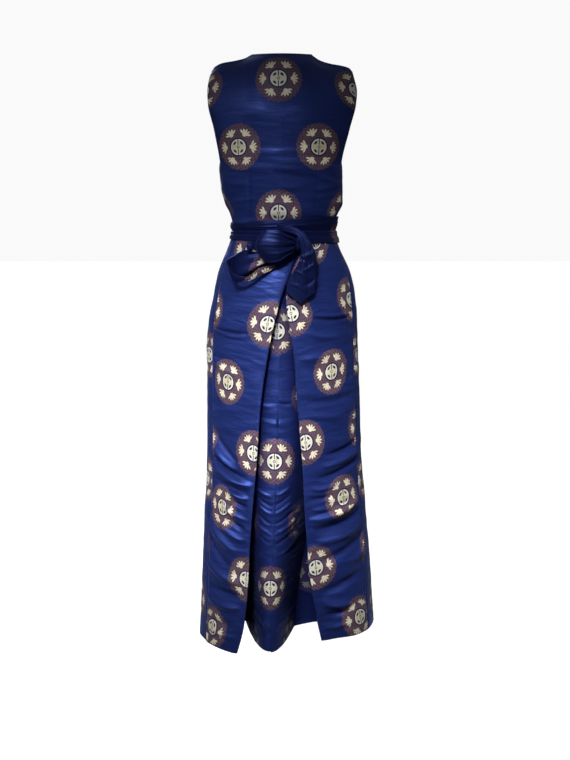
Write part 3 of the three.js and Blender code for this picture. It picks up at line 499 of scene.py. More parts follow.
def sew(name, grid, cloth, split=None, cloth_beyond=None, ring=False, out_sign=1):
    """Makes a piece of lined cloth from a grid of points in millimetres, with its map "cloth". Its
    columns from split on take their map from cloth_beyond."""
    rows, columns = grid.shape[:2]
    last = columns if ring else columns - 1
    faces = []
    maps = []
    for i in range(rows - 1):
        for j in range(last):
            corners = [(i, j), (i + 1, j), (i + 1, j + 1), (i, j + 1)]
            if out_sign < 0:
                corners.reverse()
            faces.append([a * columns + b % columns for a, b in corners])
            source = cloth if split is None or j < split else cloth_beyond
            maps.extend(source[a][b] for a, b in corners)
    mesh = bpy.data.meshes.new(name)
    mesh.from_pydata((grid.reshape(-1, 3) * MM).tolist(), [], faces)
    layer = mesh.uv_layers.new(name="cloth")
    layer.data.foreach_set("uv", np.array(maps, np.float32).ravel())
    piece = bpy.data.objects.new(name, mesh)
    bpy.context.scene.collection.objects.link(piece)
    bpy.context.view_layer.objects.active = piece
    piece.select_set(True)
    mesh.materials.append(robe_brocade)
    mesh.materials.append(lining)
    wall = piece.modifiers.new("Lining side", "SOLIDIFY")
    wall.thickness = CLOTH * MM
    wall.offset = -1
    wall.material_offset = 1
    wall.use_even_offset = False
    bpy.ops.object.modifier_apply(modifier=wall.name)
    mesh = piece.data
    mesh.polygons.foreach_set("use_smooth", [True] * len(mesh.polygons))
    piece.select_set(False)
    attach(piece, "root")
    return piece


def below(z, start, over, least=0.0):
    """Shares that grow from least at a height to 1 some way under it."""
    return np.clip((start - z) / over, least, 1)


def ease_at_edges(shape, rows, left, right):
    """Shares that grow from 0 at a grid's top row and side edges to 1 a few steps in."""
    down = np.minimum(1, np.arange(shape[0]) / rows)
    from_left = np.minimum(1, np.arange(shape[1]) / left)
    from_right = np.minimum(1, np.arange(shape[1])[::-1] / right)
    return down[:, None] * np.minimum(from_left, from_right)[None, :]


def steps(count):
    return [k / count for k in range(count + 1)]


def arc_lengths(line):
    """How far along a line of points each of them lies."""
    parts = np.linalg.norm(np.diff(line, axis=0), axis=1)
    return np.concatenate([[0], np.cumsum(parts)])


def bodice_map(grid, column, level, direction=1):
    """A map with the roundels' middle column at a grid column, and a roundel at a height in it."""
    down = -arc_lengths(grid[:, column])
    start = np.interp(-level, -grid[:, column, 2], down)
    cloth = np.zeros((*grid.shape[:2], 2))
    for i, row in enumerate(grid):
        along = arc_lengths(row)
        u = (along[column] - along) * direction
        cloth[i] = np.stack([u, np.full(len(row), down[i] - start)], axis=1)
    return cloth * MM


# Creases of the back, as seen from behind: from one place to another (X, Z), the sag of the middle,
# the width and the height.
BODICE_CREASES = [
    (60, -226, -40, -222, 3, 5, 1.3),
    (55, -241, -118, -246, 5, 6, 1.5),
    (96, -255, -110, -262, 4, 5, 1.4),
    (128, -262, 20, -271, -2, 6, 1.6),
    (30, -272, -128, -280, 6, 7, -1.6),
    (-40, -236, -132, -262, 4, 5, 1.6),
    (-60, -268, -134, -296, 3, 5, 1.9),
    (-72, -312, -136, -298, 3, 6, 2.2),
    (-58, -330, -134, -322, 2, 6, 1.8),
    (132, -226, 84, -236, 3, 5, 1.8),
    (136, -246, 96, -250, 2, 5, 1.6),
    (124, -300, 70, -296, 3, 7, 1.3),
    (118, -338, 60, -330, 2, 6, 1.2),
    (20, -300, -60, -306, 3, 7, 1.2),
    (40, -318, -30, -322, -2, 6, -1.0),
    (90, -150, 30, -138, -6, 12, 1.2),
    (-96, -150, -30, -134, 6, 12, 1.2),
    (-20, -180, -66, -190, 4, 5, 1.1),
]
DART_INTAKE = 24  # the cloth that a dart takes in at the waist
DARTS = [(76, -232, -410), (-80, -238, -410)]  # X, and the heights of the ends
DART_WIDTH, DART_DEPTH = 3.2, 1.1
PUFF = dict(foot=-404, top=-368, out=3.2)  # the bodice puffs over the sash's upper edge

MIDDLE_LINE = dict(x=1, width=2.4, depth=0.5)  # pressed in, from the neck down
BODICE_MIDDLE = np.array([0.0, 0.0, -200.0])
BACK_RIPPLES = dict(small=((64, 13), 0.9, 3.1), broad=((90, 60), 2.0, 8.4))
BACK_MAP = dict(level=-363, aside=-8)  # the lowest roundel's height, and how far off the middle it is


def make_bodice_back():
    acrosses = [off_seam(1 - 2 * u) for u in steps(BACK_COLUMNS)]
    grid = np.array(
        [
            [bodice_point(back_row, down, a, BACK_NECK_REACH, BACK_NECK_FALL) for a in acrosses]
            for down in steps(BODICE_LINES)
        ]
    )
    X, Z = grid[..., 0], grid[..., 2]
    lift = creases(X, Z, BODICE_CREASES)
    lift += ripples(grid, *BACK_RIPPLES["small"]) * below(Z, -150, 60, 0.25)
    lift += ripples(grid, *BACK_RIPPLES["broad"]) * below(Z, -60, 80)
    for dart_x, dart_top, _ in DARTS:
        pucker = 1 + 0.5 * np.sin(Z * 0.55) * np.exp(-(((X - dart_x) / 9) ** 2))
        line = np.exp(-(((X - dart_x) / DART_WIDTH) ** 2))
        lift -= DART_DEPTH * below(Z, dart_top, 22) * pucker * line
    line = np.exp(-(((X - MIDDLE_LINE["x"]) / MIDDLE_LINE["width"]) ** 2))
    lift -= MIDDLE_LINE["depth"] * line * below(Z, -30, 40)
    share = np.clip((Z - PUFF["foot"]) / (PUFF["top"] - PUFF["foot"]), 0, 1)
    lift += PUFF["out"] * np.sin(math.pi * np.minimum(1, share * 1.25)) * (Z < PUFF["top"] + 30)
    lift *= ease_at_edges(lift.shape, 5, 4, 4)
    grid = grid + square_out(grid, BODICE_MIDDLE) * lift[..., None]
    cloth = bodice_map(grid, BACK_COLUMNS // 2, BACK_MAP["level"])
    cloth[..., 0] += BACK_MAP["aside"] * MM
    for dart_x, dart_top, dart_foot in DARTS:
        beyond = (X - dart_x) * np.sign(dart_x) > 0
        taken = DART_INTAKE * below(Z, dart_top, dart_top - dart_foot)
        cloth[..., 0] += np.where(beyond, taken * np.sign(dart_x), 0) * MM
    piece = sew("bodice_back_cloth", grid, cloth)
    piece.data.materials[0] = smooth_brocade
    return piece


bodice_back = make_bodice_back()
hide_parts("bodice_back")

# The bodice fronts
# Two pieces that wrap over each other, the wearer's left over the right, and slope from the shoulders
# to a V neck. They are sewn to the back at the shoulders and sides.
FRONT_NECK_REACH, FRONT_NECK_FALL = -46, 52
LAP_DEPTH = 4.2
BUST = dict(x=70, z=-222, reach=62, rise=11)
FRONT_COLUMNS = 84
FRONT_LEVEL = -300  # the height of a roundel in its middle column
FRONT_RIPPLES = dict(small=((60, 16), 0.7), broad=((90, 70), 1.0))
LIFT_IN, LIFT_OUT = 0.9, 2.6  # the most that creases move the cloth; an under lap moves out by LIFT_IN
FRONT_ROWS = [
    (0.0, 165, 165, -6, -36, -38, -48, 25),
    (0.1, 158, 158, -16, -62, -62, -74, 30),
    (0.2, 148, 148, -27, -96, -82, -106, 38),
    (0.32, 140, 139, -33, -138, -102, -148, 50),
    (0.46, 138, 136, -20, -190, -116, -198, 70),
]
# From the bust down the fronts meet the back's side seams, and only their middle is their own.
FRONT_MIDDLES = [-117, -110, -101, -96, -91, -90]
FRONT_ROWS += [
    (*back[:5], middle_y, back[6], 180 - back[7]) for back, middle_y in zip(BACK_ROWS[5:], FRONT_MIDDLES)
]
# Rows: how far down, and where each front ends, from 1 at the left side seam to -1 at the right
LAP_ROWS = [
    (0.0, 0.427, -0.427),
    (0.1, 0.37, -0.37),
    (0.2, 0.28, -0.28),
    (0.32, 0.16, -0.16),
    (0.46, -0.01, 0.01),
    (0.62, -0.22, 0.18),
    (0.72, -0.42, 0.22),
    (0.82, -0.57, 0.24),
    (1.0, -0.62, 0.24),
]
front_row = curves_through(ARC, FRONT_ROWS)
lap_at = curves_through("down outer inner", LAP_ROWS)


def front_point(down, across):
    p = bodice_point(front_row, down, across, FRONT_NECK_REACH, FRONT_NECK_FALL)
    away = math.hypot(abs(p.x) - BUST["x"], p.z - BUST["z"]) / BUST["reach"]
    p.y -= BUST["rise"] * math.exp(-away * away) * smooth(-20, -70, p.y)
    return p


def lap_ease(across):
    return smooth(-0.98, -0.72, across)


# Drag lines run from the wrap's edge to the bust and the side, and the waist is a little full.
OUTER_FRONT_CREASES = [
    (140, -250, 60, -236, 3, 6, 1.6),
    (144, -280, 50, -268, 4, 6, 1.7),
    (138, -318, 20, -290, 5, 7, 1.8),
    (128, -345, -20, -312, 5, 6, -1.4),
    (112, -372, -60, -338, 6, 7, 1.7),
    (60, -380, -70, -356, 4, 6, 1.5),
    (150, -130, 96, -176, 4, 9, 1.6),
    (120, -100, 70, -168, 5, 9, 1.3),
]
INNER_FRONT_CREASES = [
    (-140, -250, -66, -234, 3, 6, 1.5),
    (-142, -284, -60, -262, 3, 6, 1.7),
    (-136, -322, -70, -300, 3, 6, -1.5),
    (-126, -356, -80, -340, 3, 6, 1.4),
    (-150, -128, -100, -170, 4, 9, 1.5),
]


def make_front(name, side, lap, inset, table, column, seed):
    grid = np.zeros((BODICE_LINES + 1, FRONT_COLUMNS + 1, 3))
    lapped = np.zeros(grid.shape[:2])
    for i, down in enumerate(steps(BODICE_LINES)):
        for j, u in enumerate(steps(FRONT_COLUMNS)):
            across = off_seam(lerp(side, lap(lap_at(down)), u))
            grid[i, j] = front_point(down, across)
            lapped[i, j] = inset * smooth(0.02, 0.3, down) * lap_ease(across)
    lift = creases(grid[..., 0], grid[..., 2], table) + ripples(grid, *FRONT_RIPPLES["small"], seed)
    lift += ripples(grid, *FRONT_RIPPLES["broad"], seed + 5)
    lift = np.clip(lift, -LIFT_IN, LIFT_IN if inset else LIFT_OUT)
    lift = lift * ease_at_edges(lift.shape, 5, 4, 6) - lapped
    grid = grid + square_out(grid, BODICE_MIDDLE) * lift[..., None]
    cloth = bodice_map(grid, column, FRONT_LEVEL, -side)
    piece = sew(name, grid, cloth, out_sign=-side)
    return piece


front_outer = make_front(
    "bodice_front_outer_cloth", 1, lambda row: row.outer, 0, OUTER_FRONT_CREASES, column=44, seed=2.2
)
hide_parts("bodice_front_outer")
front_inner = make_front(
    "bodice_front_inner_cloth", -1, lambda row: row.inner, LAP_DEPTH, INNER_FRONT_CREASES, column=30, seed=6.7
)
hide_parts("bodice_front_inner")

# The skirt fronts
# Two long panels of lined brocade that wrap like the bodice's fronts, in soft upright waves that grow
# to the hem. They are sewn to the bodice at the waist and to the skirt back at the sides.
HEM_Z = -1395
FRONT_WAVES = dict(count=5, size=5, offset=0.6, fade=1.1)
SKIRT_FRONT_LINES = 236
SKIRT_FRONT_MAP = dict(aside=35, level=-700)
SKIRT_FRONT_RIPPLES = dict(small=((70, 24), 0.8), broad=((110, 90), 1.6))
SKIRT_LIFT_OUT = 3.2
SKIRT_MIDDLE = np.array([0.0, 0.0, -900.0])
SKIRT_ROWS = [
    (-410, 117.1, 125.6, 68, 90, 23, 70),
    (-454, 134, 143, 87, 97, 31, 69),
    (-500, 152, 165, 103, 103, 38, 68),
    (-560, 165, 178, 115, 107, 44, 67),
    (-620, 177, 184, 121, 110, 48, 66),
    (-700, 182, 187, 126, 112, 51, 66),
    (-820, 182, 192, 133, 117, 54, 66),
    (-950, 184, 197, 141, 124, 57, 66),
    (-1100, 192, 210, 151, 133, 61, 66),
    (-1250, 199, 222, 162, 142, 66, 66),
    (-1400, 206, 232, 171, 150, 70, 66),
]
HEM_ROWS = [(-235, -1377), (-98, -1381), (27, -1405), (112, -1410), (210, -1406)]
SKIRT_LAP = dict(outer=(-0.62, -0.56), inner=(0.24, 0.20))
skirt_row = curves_through("z left right back front seam_y spread", SKIRT_ROWS)
hem_row = curves_through("x z", HEM_ROWS)


def skirt_arc(z, front, out=0.0):
    row = skirt_row(z)
    seam = math.sin(row.spread * DEGREE)
    return SimpleNamespace(
        left=(row.left + out) * seam,
        right=(row.right + out) * seam,
        edge_y=row.seam_y,
        mid_y=-row.front - out if front else row.back + out,
        edge_z=z,
        mid_z=z,
        spread=180 - row.spread if front else row.spread,
    )


def drape(across, down):
    share = math.sin(math.pi * min(0.5, (1 - abs(across)) * FRONT_WAVES["fade"]))
    wave = math.sin(FRONT_WAVES["count"] * math.pi * across + FRONT_WAVES["offset"])
    return FRONT_WAVES["size"] * down * down * share * wave


def hem_shift(x, down):
    return (hem_row(x).z - HEM_Z) * down * down


def skirt_z(down):
    return lerp(WAIST_Z - SEAM_GAP / 2, HEM_Z, down)


# Diagonal drag lines hang from the hips, and a few soft folds lie above the hem.
OUTER_SKIRT_CREASES = [
    (168, -560, 40, -640, 8, 10, 1.8),
    (172, -640, 60, -730, 10, 11, 1.6),
    (-90, -520, 10, -600, 8, 9, 1.5),
    (176, -800, 20, -860, 12, 10, 1.7),
    (120, -930, -60, -900, 14, 10, 1.8),
    (180, -1010, 60, -1060, 10, 11, -1.8),
    (160, -1110, -20, -1080, 12, 10, 2.0),
    (60, -1190, -100, -1150, 10, 11, 1.9),
    (190, -1240, 40, -1270, 8, 10, 1.9),
    (20, -1300, -110, -1290, 8, 9, -1.6),
]
INNER_SKIRT_CREASES = [
    (-176, -580, -110, -640, 6, 9, 1.5),
    (-190, -720, -124, -760, 6, 10, 1.6),
    (-196, -900, -130, -930, 6, 10, 1.6),
    (-206, -1060, -120, -1040, 8, 10, 1.8),
    (-216, -1190, -130, -1220, 8, 10, 1.7),
]
HEM_STITCH = dict(up=45, width=2.2, depth=0.5)  # the line of stitches that holds up the hem


def hem_groove(above_hem):
    return -HEM_STITCH["depth"] * np.exp(-(((above_hem - HEM_STITCH["up"]) / HEM_STITCH["width"]) ** 2))


def make_skirt_front(name, side, lap, inset, table, columns, seed):
    grid = np.zeros((SKIRT_FRONT_LINES + 1, columns + 1, 3))
    for i, down in enumerate(steps(SKIRT_FRONT_LINES)):
        for j, u in enumerate(steps(columns)):
            across = off_seam(lerp(side, lerp(*lap, down), u))
            arc = skirt_arc(skirt_z(down), True, drape(across, down) - inset * lap_ease(across))
            p = arc_point(arc, across)
            p.z += hem_shift(p.x, down)
            grid[i, j] = p
    X, Z = grid[..., 0], grid[..., 2]
    lift = creases(X, Z, table) + ripples(grid, *SKIRT_FRONT_RIPPLES["small"], seed)
    lift += ripples(grid, *SKIRT_FRONT_RIPPLES["broad"], seed + 4) + hem_groove(Z - Z[-1])
    lift = np.clip(lift, -LIFT_IN, LIFT_IN if inset else SKIRT_LIFT_OUT)
    lift *= ease_at_edges(lift.shape, 5, 4, 6)
    grid = grid + square_out(grid, SKIRT_MIDDLE) * lift[..., None]
    across_map = np.array([side * arc_lengths(row) for row in grid])
    across_map -= across_map[:, -1:] / 2 - SKIRT_FRONT_MAP["aside"]
    cloth = np.stack([across_map, Z - SKIRT_FRONT_MAP["level"]], axis=2) * MM
    piece = sew(name, grid, cloth, out_sign=-side)
    return piece


skirt_front_outer = make_skirt_front(
    "skirt_front_outer_cloth", 1, SKIRT_LAP["outer"], 0, OUTER_SKIRT_CREASES, columns=120, seed=4.4
)
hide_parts("skirt_front_outer")
skirt_front_inner = make_skirt_front(
    "skirt_front_inner_cloth", -1, SKIRT_LAP["inner"], LAP_DEPTH, INNER_SKIRT_CREASES, columns=92, seed=9.1
)
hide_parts("skirt_front_inner")

# The skirt back
# Two long pieces of lined brocade, sewn together down the middle and to the bodice at the waist. Each
# runs from its side seam to the pleat's edge, turns under to a valley and comes back to the middle.
FOLD_RADIUS, VALLEY_RADIUS = 2.1, 1.3
HEM_TUCK = dict(left=0.12, right=0.01)  # how much higher the hem is for each millimetre inside the ring
LIFT_REACH = (95, 25)  # from the pleat's edge, where the outer panel starts to stand out and does in full
ROUNDED = (-480, -900)  # the heights between which the underlay grows round
RETURN_BOW = 12
SKIRT_BACK_LINES = 336
PANEL_STEPS, TURN_STEPS, RETURN_STEPS, UNDERLAY_STEPS = 48, 6, 26, 46
EDGE_AT = PANEL_STEPS
VALLEY_AT = PANEL_STEPS + TURN_STEPS + RETURN_STEPS
PANEL_RIPPLES = dict(small=((80, 20), 1.4), broad=((120, 90), 3.0), fine=((44, 9), 1.1))
UNDERLAY_RIPPLES = dict(small=((60, 26), 1.2), fine=((34, 9), 0.7))
UNDERLAY_PUCKER = 1.9
CENTRE_SEAM = dict(width=1.4, depth=0.7)
# Rows: height, the edges of the left and right panels, the middle seam and how far in it lies
PLEAT_ROWS = [
    (-410, -39, -20, -5, 9),
    (-480, -24, -12, -4, 10),
    (-560, 5, -12, -2, 11),
    (-680, 33, -29, 4, 13),
    (-800, 51, -38, 9, 13),
    (-950, 63, -50, 13, 13),
    (-1100, 76, -58, 19, 14),
    (-1250, 85, -72, 27, 16),
    (-1330, 94, -86, 27, 18),
    (-1410, 115, -100, 27, 20),
]
# Rows: height, how far the valley lies behind the edge and in, how far the edge stands out, and the
# share of the underlay that stays level
LEFT_FOLD_ROWS = [
    (-410, 52, 4, 5.8, 0),
    (-480, 56, 5, 6.4, 0),
    (-560, 60, 9, 3.6, 0),
    (-680, 64, 21, 0, 0),
    (-800, 63, 38, 0, 0),
    (-950, 52, 64, 0, 0),
    (-1100, 36, 96, 0, 0),
    (-1250, 12, 130, 0, 0),
    (-1330, -2, 148, 0, 0),
    (-1410, -18, 164, 0, 0),
]
RIGHT_FOLD_ROWS = [
    (-410, 52, 4, 0, 0),
    (-480, 56, 5, 0, 0),
    (-560, 60, 9, 0, 0),
    (-680, 62, 21, 0, 0),
    (-800, 60, 36, 0, 0),
    (-950, 48, 60, -1, 0.06),
    (-1100, 32, 86, -4, 0.18),
    (-1250, 10, 106, -10, 0.34),
    (-1330, -2, 114, -15, 0.44),
    (-1410, -12, 122, -20, 0.5),
]
pleat_row = curves_through("z edge_left edge_right ridge ridge_in", PLEAT_ROWS)
left_fold_row = curves_through("z shift depth lift level", LEFT_FOLD_ROWS)
right_fold_row = curves_through("z shift depth lift level", RIGHT_FOLD_ROWS)


def turn_points(start, heading, turn, radius, side, count):
    middle = start + Vector((-heading.y, heading.x)) * radius * side
    points = []
    for k in range(count):
        angle = side * turn * (k + 1) / count
        arm = start - middle
        cos, sin = math.cos(angle), math.sin(angle)
        points.append(middle + Vector((arm.x * cos - arm.y * sin, arm.x * sin + arm.y * cos)))
    return points


def turn_to(start, end, side):
    angle = side * (math.atan2(end.y, end.x) - math.atan2(start.y, start.x))
    return angle % (2 * math.pi)


def pleated_half(z, left):
    """The half skirt's path at a height. Each point has X, Y and how far it lies inside the ring."""
    lines = pleat_row(z)
    fold = (left_fold_row if left else right_fold_row)(z)
    side = 1 if left else -1
    edge_x = side * (lines.edge_left if left else lines.edge_right)
    ridge_x = side * lines.ridge
    arc = skirt_arc(z, False)
    half = arc.spread * DEGREE

    def across_at(x):
        reach = (arc.left if (x >= 0) == left else arc.right) / math.sin(half)
        return math.asin(clamp01(abs(x) / reach) * math.copysign(1, x)) / half

    def on_ring(across):
        p = arc_point(arc, side * across)
        return Vector((side * p.x, p.y))

    def raised(x):
        return on_ring(across_at(x)).y + fold.lift * smooth(edge_x + LIFT_REACH[0], edge_x + LIFT_REACH[1], x)

    points = []
    for k in range(PANEL_STEPS + 1):
        p = on_ring(lerp(off_seam(1), across_at(edge_x), k / PANEL_STEPS))
        points.append(Vector((p.x, raised(p.x))))
    edge = points[-1]
    heading = (edge - points[-2]).normalized()
    valley = Vector((edge_x + fold.shift, raised(edge_x + fold.shift) - fold.depth - 2 * FOLD_RADIUS))
    to_valley = (valley - Vector((edge.x, edge.y - 2 * FOLD_RADIUS))).normalized()
    points += turn_points(edge, heading, turn_to(heading, to_valley, 1), FOLD_RADIUS, 1, TURN_STEPS)
    folded = points[-1].copy()
    for k in range(RETURN_STEPS):
        share = (k + 1) / RETURN_STEPS
        p = folded.lerp(valley, share)
        late = min(fold.depth, RETURN_BOW) * (share - share**1.8)
        level = 0 if abs(valley.x - folded.x) < 0.01 else (p.x - folded.x) / (valley.x - folded.x)
        bow = raised(p.x) - lerp(raised(folded.x), raised(valley.x), level)
        points.append(Vector((p.x, p.y + bow + (late if left else 0))))
    ridge = Vector((ridge_x, on_ring(across_at(ridge_x)).y - lines.ridge_in))
    into = (valley - points[-2]).normalized()
    to_ridge = (ridge - valley).normalized()
    points += turn_points(valley, into, turn_to(into, to_ridge, -1), VALLEY_RADIUS, -1, TURN_STEPS)
    start = points[-1].copy()
    rounded = smooth(*ROUNDED, z)
    for k in range(UNDERLAY_STEPS):
        share = (k + 1) / UNDERLAY_STEPS
        p = start.lerp(ridge, share)
        rise = clamp01((share - fold.level) / (1 - fold.level))
        p.y = lerp(p.y, lerp(start.y, ridge.y, 1 - (1 - rise) ** 2), rounded)
        points.append(p)
    inside = [max(0.0, on_ring(across_at(p.x)).y - p.y) for p in points]
    return [(side * p.x, p.y, depth) for p, depth in zip(points, inside)]


# Creases of the panels, as seen from behind
LEFT_PANEL_CREASES = [
    (160, -634, 78, -640, 3, 3.2, -5.7),
    (158, -642, 84, -650, 3, 4.8, 4.2),
    (170, -700, 110, -742, 5, 7.2, 4.2),
    (178, -862, 104, -948, 8, 6.4, -7.8),
    (180, -894, 110, -968, 8, 6.4, 7.2),
    (182, -930, 84, -985, 8, 6.4, -7.8),
    (180, -950, 70, -1004, 10, 6.4, 8.4),
    (176, -985, 78, -1018, 6, 5.6, -6.6),
    (130, -1012, 80, -1032, 5, 4.8, 7.8),
    (120, -1036, 82, -1052, 4, 4.8, -7.2),
    (140, -1052, 86, -1082, 6, 5.6, 7.8),
    (128, -1084, 88, -1106, 5, 5.6, -7.8),
    (150, -1100, 92, -1134, 6, 6.4, 6.6),
    (188, -1080, 110, -1168, 10, 9.6, 7.8),
    (192, -1120, 120, -1210, 10, 10.4, -8.4),
    (188, -1200, 98, -1240, 8, 9.6, 7.8),
    (176, -1262, 98, -1268, 6, 9.6, -9.6),
    (184, -1290, 100, -1300, 7, 10.4, 9),
    (190, -1340, 116, -1342, 6, 8, -5.4),
    (168, -1366, 112, -1372, 4, 5.6, 4.2),
]
RIGHT_PANEL_CREASES = [
    (-76, -598, -162, -598, 4, 3.2, 5.1),
    (-70, -606, -160, -607, 4, 4.8, -3.6),
    (-60, -640, -130, -650, 5, 6.4, 3.6),
    (-40, -700, -120, -690, 6, 8, 3),
    (-56, -802, -176, -790, 6, 9.6, -4.8),
    (-60, -830, -150, -838, 5, 8, 3.6),
    (-100, -930, -186, -902, 6, 6.4, -7.8),
    (-96, -956, -190, -924, 6, 7.2, 7.8),
    (-84, -984, -190, -944, 7, 6.4, -7.2),
    (-70, -1008, -130, -1000, 5, 5.6, 5.4),
    (-66, -1030, -120, -1024, 4, 4.8, -4.8),
    (-70, -1056, -116, -1052, 4, 4.8, 5.4),
    (-68, -1084, -190, -1046, 9, 9.6, 8.4),
    (-74, -1110, -204, -1070, 9, 10.4, -9.6),
    (-80, -1140, -204, -1104, 8, 9.6, 8.4),
    (-90, -1186, -206, -1130, 9, 10.4, -9),
    (-150, -1196, -212, -1166, 5, 8, 6.6),
    (-90, -1262, -200, -1222, 7, 11.2, -9.6),
    (-96, -1288, -170, -1294, 6, 9.6, 10.2),
    (-98, -1316, -160, -1312, 5, 7.2, -6),
    (-100, -1348, -160, -1344, 5, 6.4, 4.8),
]
# Short puckers meet at the middle seam in a herringbone, and longer ones cross the underlay.
UNDERLAY_CREASES = [
    (60, -806, 16, -812, 3, 5, 1.2),
    (10, -802, -22, -806, 2, 3, -1.6),
    (52, -716, 0, -722, 4, 8, 0.8),
    (54, -846, -30, -852, 5, 7, 1.1),
    (60, -880, -40, -884, 5, 7, -1.0),
    (66, -1006, 22, -1028, 3, 3, 2.2),
    (-20, -1002, 16, -1022, 3, 3, 2.0),
    (62, -1026, 24, -1050, 3, 3, -2.2),
    (-22, -1018, 16, -1044, 3, 3, -2.0),
    (60, -1046, 24, -1068, 3, 3, 2.3),
    (-26, -1036, 18, -1066, 3, 3, 2.2),
    (58, -1070, 26, -1092, 3, 3, -2.1),
    (-30, -1060, 18, -1090, 4, 3, -2.4),
    (64, -1090, 26, -1116, 4, 3, 2.2),
    (-34, -1080, 20, -1116, 4, 3, 2.3),
    (66, -1112, 28, -1138, 4, 3, -1.8),
    (-30, -1110, 22, -1142, 4, 3, -2.0),
    (-36, -1136, 22, -1172, 5, 3, 1.6),
    (80, -1150, 34, -1176, 6, 3, 1.2),
    (86, -1310, 30, -1352, -5, 6, 1.6),
    (24, -1352, -30, -1332, -4, 6, 1.3),
    (84, -1330, 30, -1366, -5, 6, -1.4),
]
# Where the roundels' columns lie on each panel: distance out from the pleat's edge, by height
LEFT_COLUMN = dict(
    level=-619,
    out=17,
    slant=0.020,
    heights=(-1355, -1061, -764, -619),
    squeeze=(1.04, 1.2, 1.2, 1.08),
)
RIGHT_COLUMN = dict(
    level=-593,
    out=9,
    slant=-0.012,
    heights=(-1325, -1036, -734, -600, -450),
    squeeze=(1.0, 1.08, 1.2, 1.04, 1.5),
)
PANEL_TILT = 0.13  # the flared panels' weft rises towards the sides
PANEL_LENGTH = 1.01
RIDGE_COLUMN = dict(level=-635, out=10, slant=0.014, squeeze=1.04)


def make_skirt_back(name, left, table, column, seed):
    tuck = HEM_TUCK["left" if left else "right"]
    grid = []
    for down in steps(SKIRT_BACK_LINES):
        z = skirt_z(down)
        path = pleated_half(z, left)
        grid.append([(x, y, z + hem_shift(x, down) + tuck * depth * down * down) for x, y, depth in path])
    grid = np.array(grid)
    side = 1 if left else -1
    out = square_out(grid) * side
    X, Z = grid[..., 0], grid[..., 2]
    columns = np.arange(grid.shape[1])[None, :]
    on_panel = np.clip((EDGE_AT - columns) / 2, 0, 1)
    on_underlay = np.clip((columns - VALLEY_AT - TURN_STEPS) / 8, 0, 1)
    opened = below(Z, -560, 200, 0.35)
    lower = below(Z, -840, 160, 0.2)
    lift = creases(X, Z, table) * on_panel * below(Z, -480, 40, 0.3)
    lift += ripples(grid, *PANEL_RIPPLES["small"], seed) * on_panel * opened
    lift += ripples(grid, *PANEL_RIPPLES["broad"], seed + 3) * on_panel * opened
    lift += ripples(grid, *PANEL_RIPPLES["fine"], seed + 9) * on_panel * lower
    lift += UNDERLAY_PUCKER * creases(X, Z, UNDERLAY_CREASES) * on_underlay
    lift += ripples(grid, *UNDERLAY_RIPPLES["small"], seed + 7) * on_underlay * opened
    lift += ripples(grid, *UNDERLAY_RIPPLES["fine"], seed + 11) * on_underlay * lower
    lift += hem_groove(Z - Z[-1])
    from_seam = grid.shape[1] - 1 - columns
    lift -= CENTRE_SEAM["depth"] * np.exp(-((from_seam / CENTRE_SEAM["width"]) ** 2))
    lift *= ease_at_edges(lift.shape, 5, 3, 1)
    grid = grid + out * lift[..., None]
    lengths = np.array([arc_lengths(row) for row in grid])
    squeeze = np.interp(Z[:, EDGE_AT : EDGE_AT + 1], column["heights"], column["squeeze"])
    from_edge = (lengths[:, EDGE_AT + 2 : EDGE_AT + 3] - lengths) * squeeze
    down = grid[:, EDGE_AT : EDGE_AT + 1, 2] - column["level"]
    u = from_edge - column["out"] - column["slant"] * down
    v = (Z - column["level"]) * PANEL_LENGTH - PANEL_TILT * np.maximum(0, from_edge)
    cloth = np.stack([u, v], axis=2) * MM
    ridge_down = Z[:, -1:] - RIDGE_COLUMN["level"]
    aside = RIDGE_COLUMN["out"] + RIDGE_COLUMN["slant"] * ridge_down
    from_ridge = (lengths[:, -1:] - lengths) * RIDGE_COLUMN["squeeze"] - side * aside
    under = np.stack([from_ridge, Z - RIDGE_COLUMN["level"]], axis=2) * MM
    piece = sew(name, grid, cloth, split=VALLEY_AT, cloth_beyond=under, out_sign=side)
    return piece


skirt_back_left = make_skirt_back(
    "skirt_back_left_cloth", True, LEFT_PANEL_CREASES, LEFT_COLUMN, seed=1.3
)
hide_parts("skirt_back_left")
skirt_back_right = make_skirt_back(
    "skirt_back_right_cloth", False, RIGHT_PANEL_CREASES, RIGHT_COLUMN, seed=5.9
)
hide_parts("skirt_back_right")

# The sash band
# A long strip of the same brocade, folded lengthwise and wound round the waist over the seam. It lies a
# little out from the robe, and its folds run round the body. It is tied, not sewn.
# Painted shade: the sash is the robe's brocade, its satin painted much darker than the robe's and given less
# shine
SASH_SATIN_PAINTED_DARK = (0.0026, 0.0050, 0.032, 1)
shaded_sash_brocade = cloth_material("Sash brocade", SASH_SATIN_PAINTED_DARK, NAVY, wrinkle=0.0020, gleam=0.22)
BAND_LINES, BAND_COLUMNS = 44, 300
BAND_MAP = dict(start=-365, level=76, width=40)
BAND_DRIFT = dict(start=0.58, rate=8, most=62)  # on one side the folds leave roundels showing
BAND_UNEVEN = dict(turns=2.4, rows=3, seed=7, height=0.5)
# Rows: the share of its width, and how far out the band's two rolls stand
BAND_ROWS = [
    (0, 0.6),
    (0.14, 2.8),
    (0.36, 3.4),
    (0.48, 1.2),
    (0.62, 2.8),
    (1, 0.8),
]
BAND_CLEAR = 2.4
PLEAT_ROOM = dict(middle=-8, near=40, far=88, out=8)
BAND_TOP = dict(left=-386, right=-372, front=-383)
BAND_FOOT = dict(left=-425, right=-434, front=-428)
band_row = curves_through("across out", BAND_ROWS)


def near_waist(rows):
    """The last rows of a bodice table, to be read by height."""
    by_height = [(row[4], *row[1:4], *row[5:]) for row in rows[-4:]]
    return curves_through("z left right edge_y mid_y mid_z spread", by_height)


near_waist_back, near_waist_front = near_waist(BACK_ROWS), near_waist(FRONT_ROWS)


